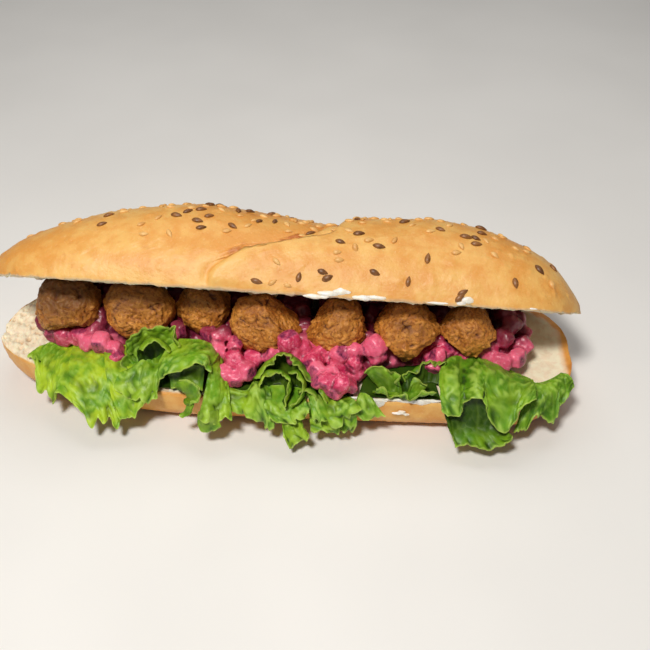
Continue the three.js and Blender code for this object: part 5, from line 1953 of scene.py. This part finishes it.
class BAGUETTE_OT_salad(Operator):
    """Heap up the beetroot salad"""

    bl_idname = "baguette.salad"
    bl_label = "Beetroot Salad"

    def execute(self, context):
        settings = context.scene.baguette_salad
        build_salad(settings, salad_finish(settings))
        return {"FINISHED"}


class BAGUETTE_OT_lettuce(Operator):
    """Lay out the lettuce leaves"""

    bl_idname = "baguette.lettuce"
    bl_label = "Lettuce"

    def execute(self, context):
        settings = context.scene.baguette_lettuce
        finish = leaf_finish(settings)
        for index in range(len(LEAVES)):
            build_leaf(index, settings, finish)
        return {"FINISHED"}


class BAGUETTE_OT_seeds(Operator):
    """Strew flax and sesame over the upper crust"""

    bl_idname = "baguette.seeds"
    bl_label = "Seeds"

    def execute(self, context):
        settings = context.scene.baguette_seeds
        flax = settings.flax_length / MM
        sesame = settings.sesame_length / MM
        brown = seed_finish("flax", seen(92, 54, 22), seen(162, 108, 58), 1.5, 0.42)
        gold = seed_finish("sesame", seen(214, 152, 78), seen(244, 200, 128), 2, 0.45)
        flax_sizes = (flax, flax * 0.5, flax * 0.2)
        sesame_sizes = (sesame, sesame * 0.52, sesame * 0.2)
        build_seeds("flax_seeds", FLAX, settings.more_flax, flax_sizes, 601, 0.25, brown)
        build_seeds("sesame_seeds", SESAME, settings.more_sesame, sesame_sizes, 611, 0.12, gold)
        return {"FINISHED"}


class BAGUETTE_OT_spread(Operator):
    """Smear the spread that has pressed out at the edges"""

    bl_idname = "baguette.spread"
    bl_label = "Spread"

    def execute(self, context):
        build_spread(spread_finish())
        return {"FINISHED"}


class BAGUETTE_OT_stage(Operator):
    """Set the pale floor, the lights and the camera"""

    bl_idname = "baguette.stage"
    bl_label = "Stage"

    def execute(self, context):
        build_stage(context.scene.baguette_stage)
        return {"FINISHED"}


class BAGUETTE_PT_pieces(Panel):
    """The sandwich's pieces, in the order they are made"""

    bl_idname = "BAGUETTE_PT_pieces"
    bl_label = "Meatball Baguette"
    bl_space_type = "VIEW_3D"
    bl_region_type = "UI"
    bl_category = "Baguette"

    def draw(self, context):
        column = self.layout.column()
        for operator in OPERATORS:
            column.operator(operator.bl_idname)


OPERATORS = (
    BAGUETTE_OT_lower_half,
    BAGUETTE_OT_upper_half,
    BAGUETTE_OT_meatballs,
    BAGUETTE_OT_salad,
    BAGUETTE_OT_lettuce,
    BAGUETTE_OT_seeds,
    BAGUETTE_OT_spread,
    BAGUETTE_OT_stage,
)


def register():
    for name, kind in SETTINGS.items():
        bpy.utils.register_class(kind)
        setattr(bpy.types.Scene, name, PointerProperty(type=kind))
    for kind in (*OPERATORS, BAGUETTE_PT_pieces):
        bpy.utils.register_class(kind)


def unregister():
    for kind in reversed((*OPERATORS, BAGUETTE_PT_pieces)):
        bpy.utils.unregister_class(kind)
    for name, kind in reversed(SETTINGS.items()):
        delattr(bpy.types.Scene, name)
        bpy.utils.unregister_class(kind)


def main():
    register()
    bpy.ops.baguette.lower_half()
    bpy.ops.baguette.upper_half()
    bpy.ops.baguette.meatballs()
    bpy.ops.baguette.salad()
    bpy.ops.baguette.lettuce()
    bpy.ops.baguette.seeds()
    bpy.ops.baguette.spread()
    bpy.ops.baguette.stage()
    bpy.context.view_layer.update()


if __name__ == "__main__":
    main()
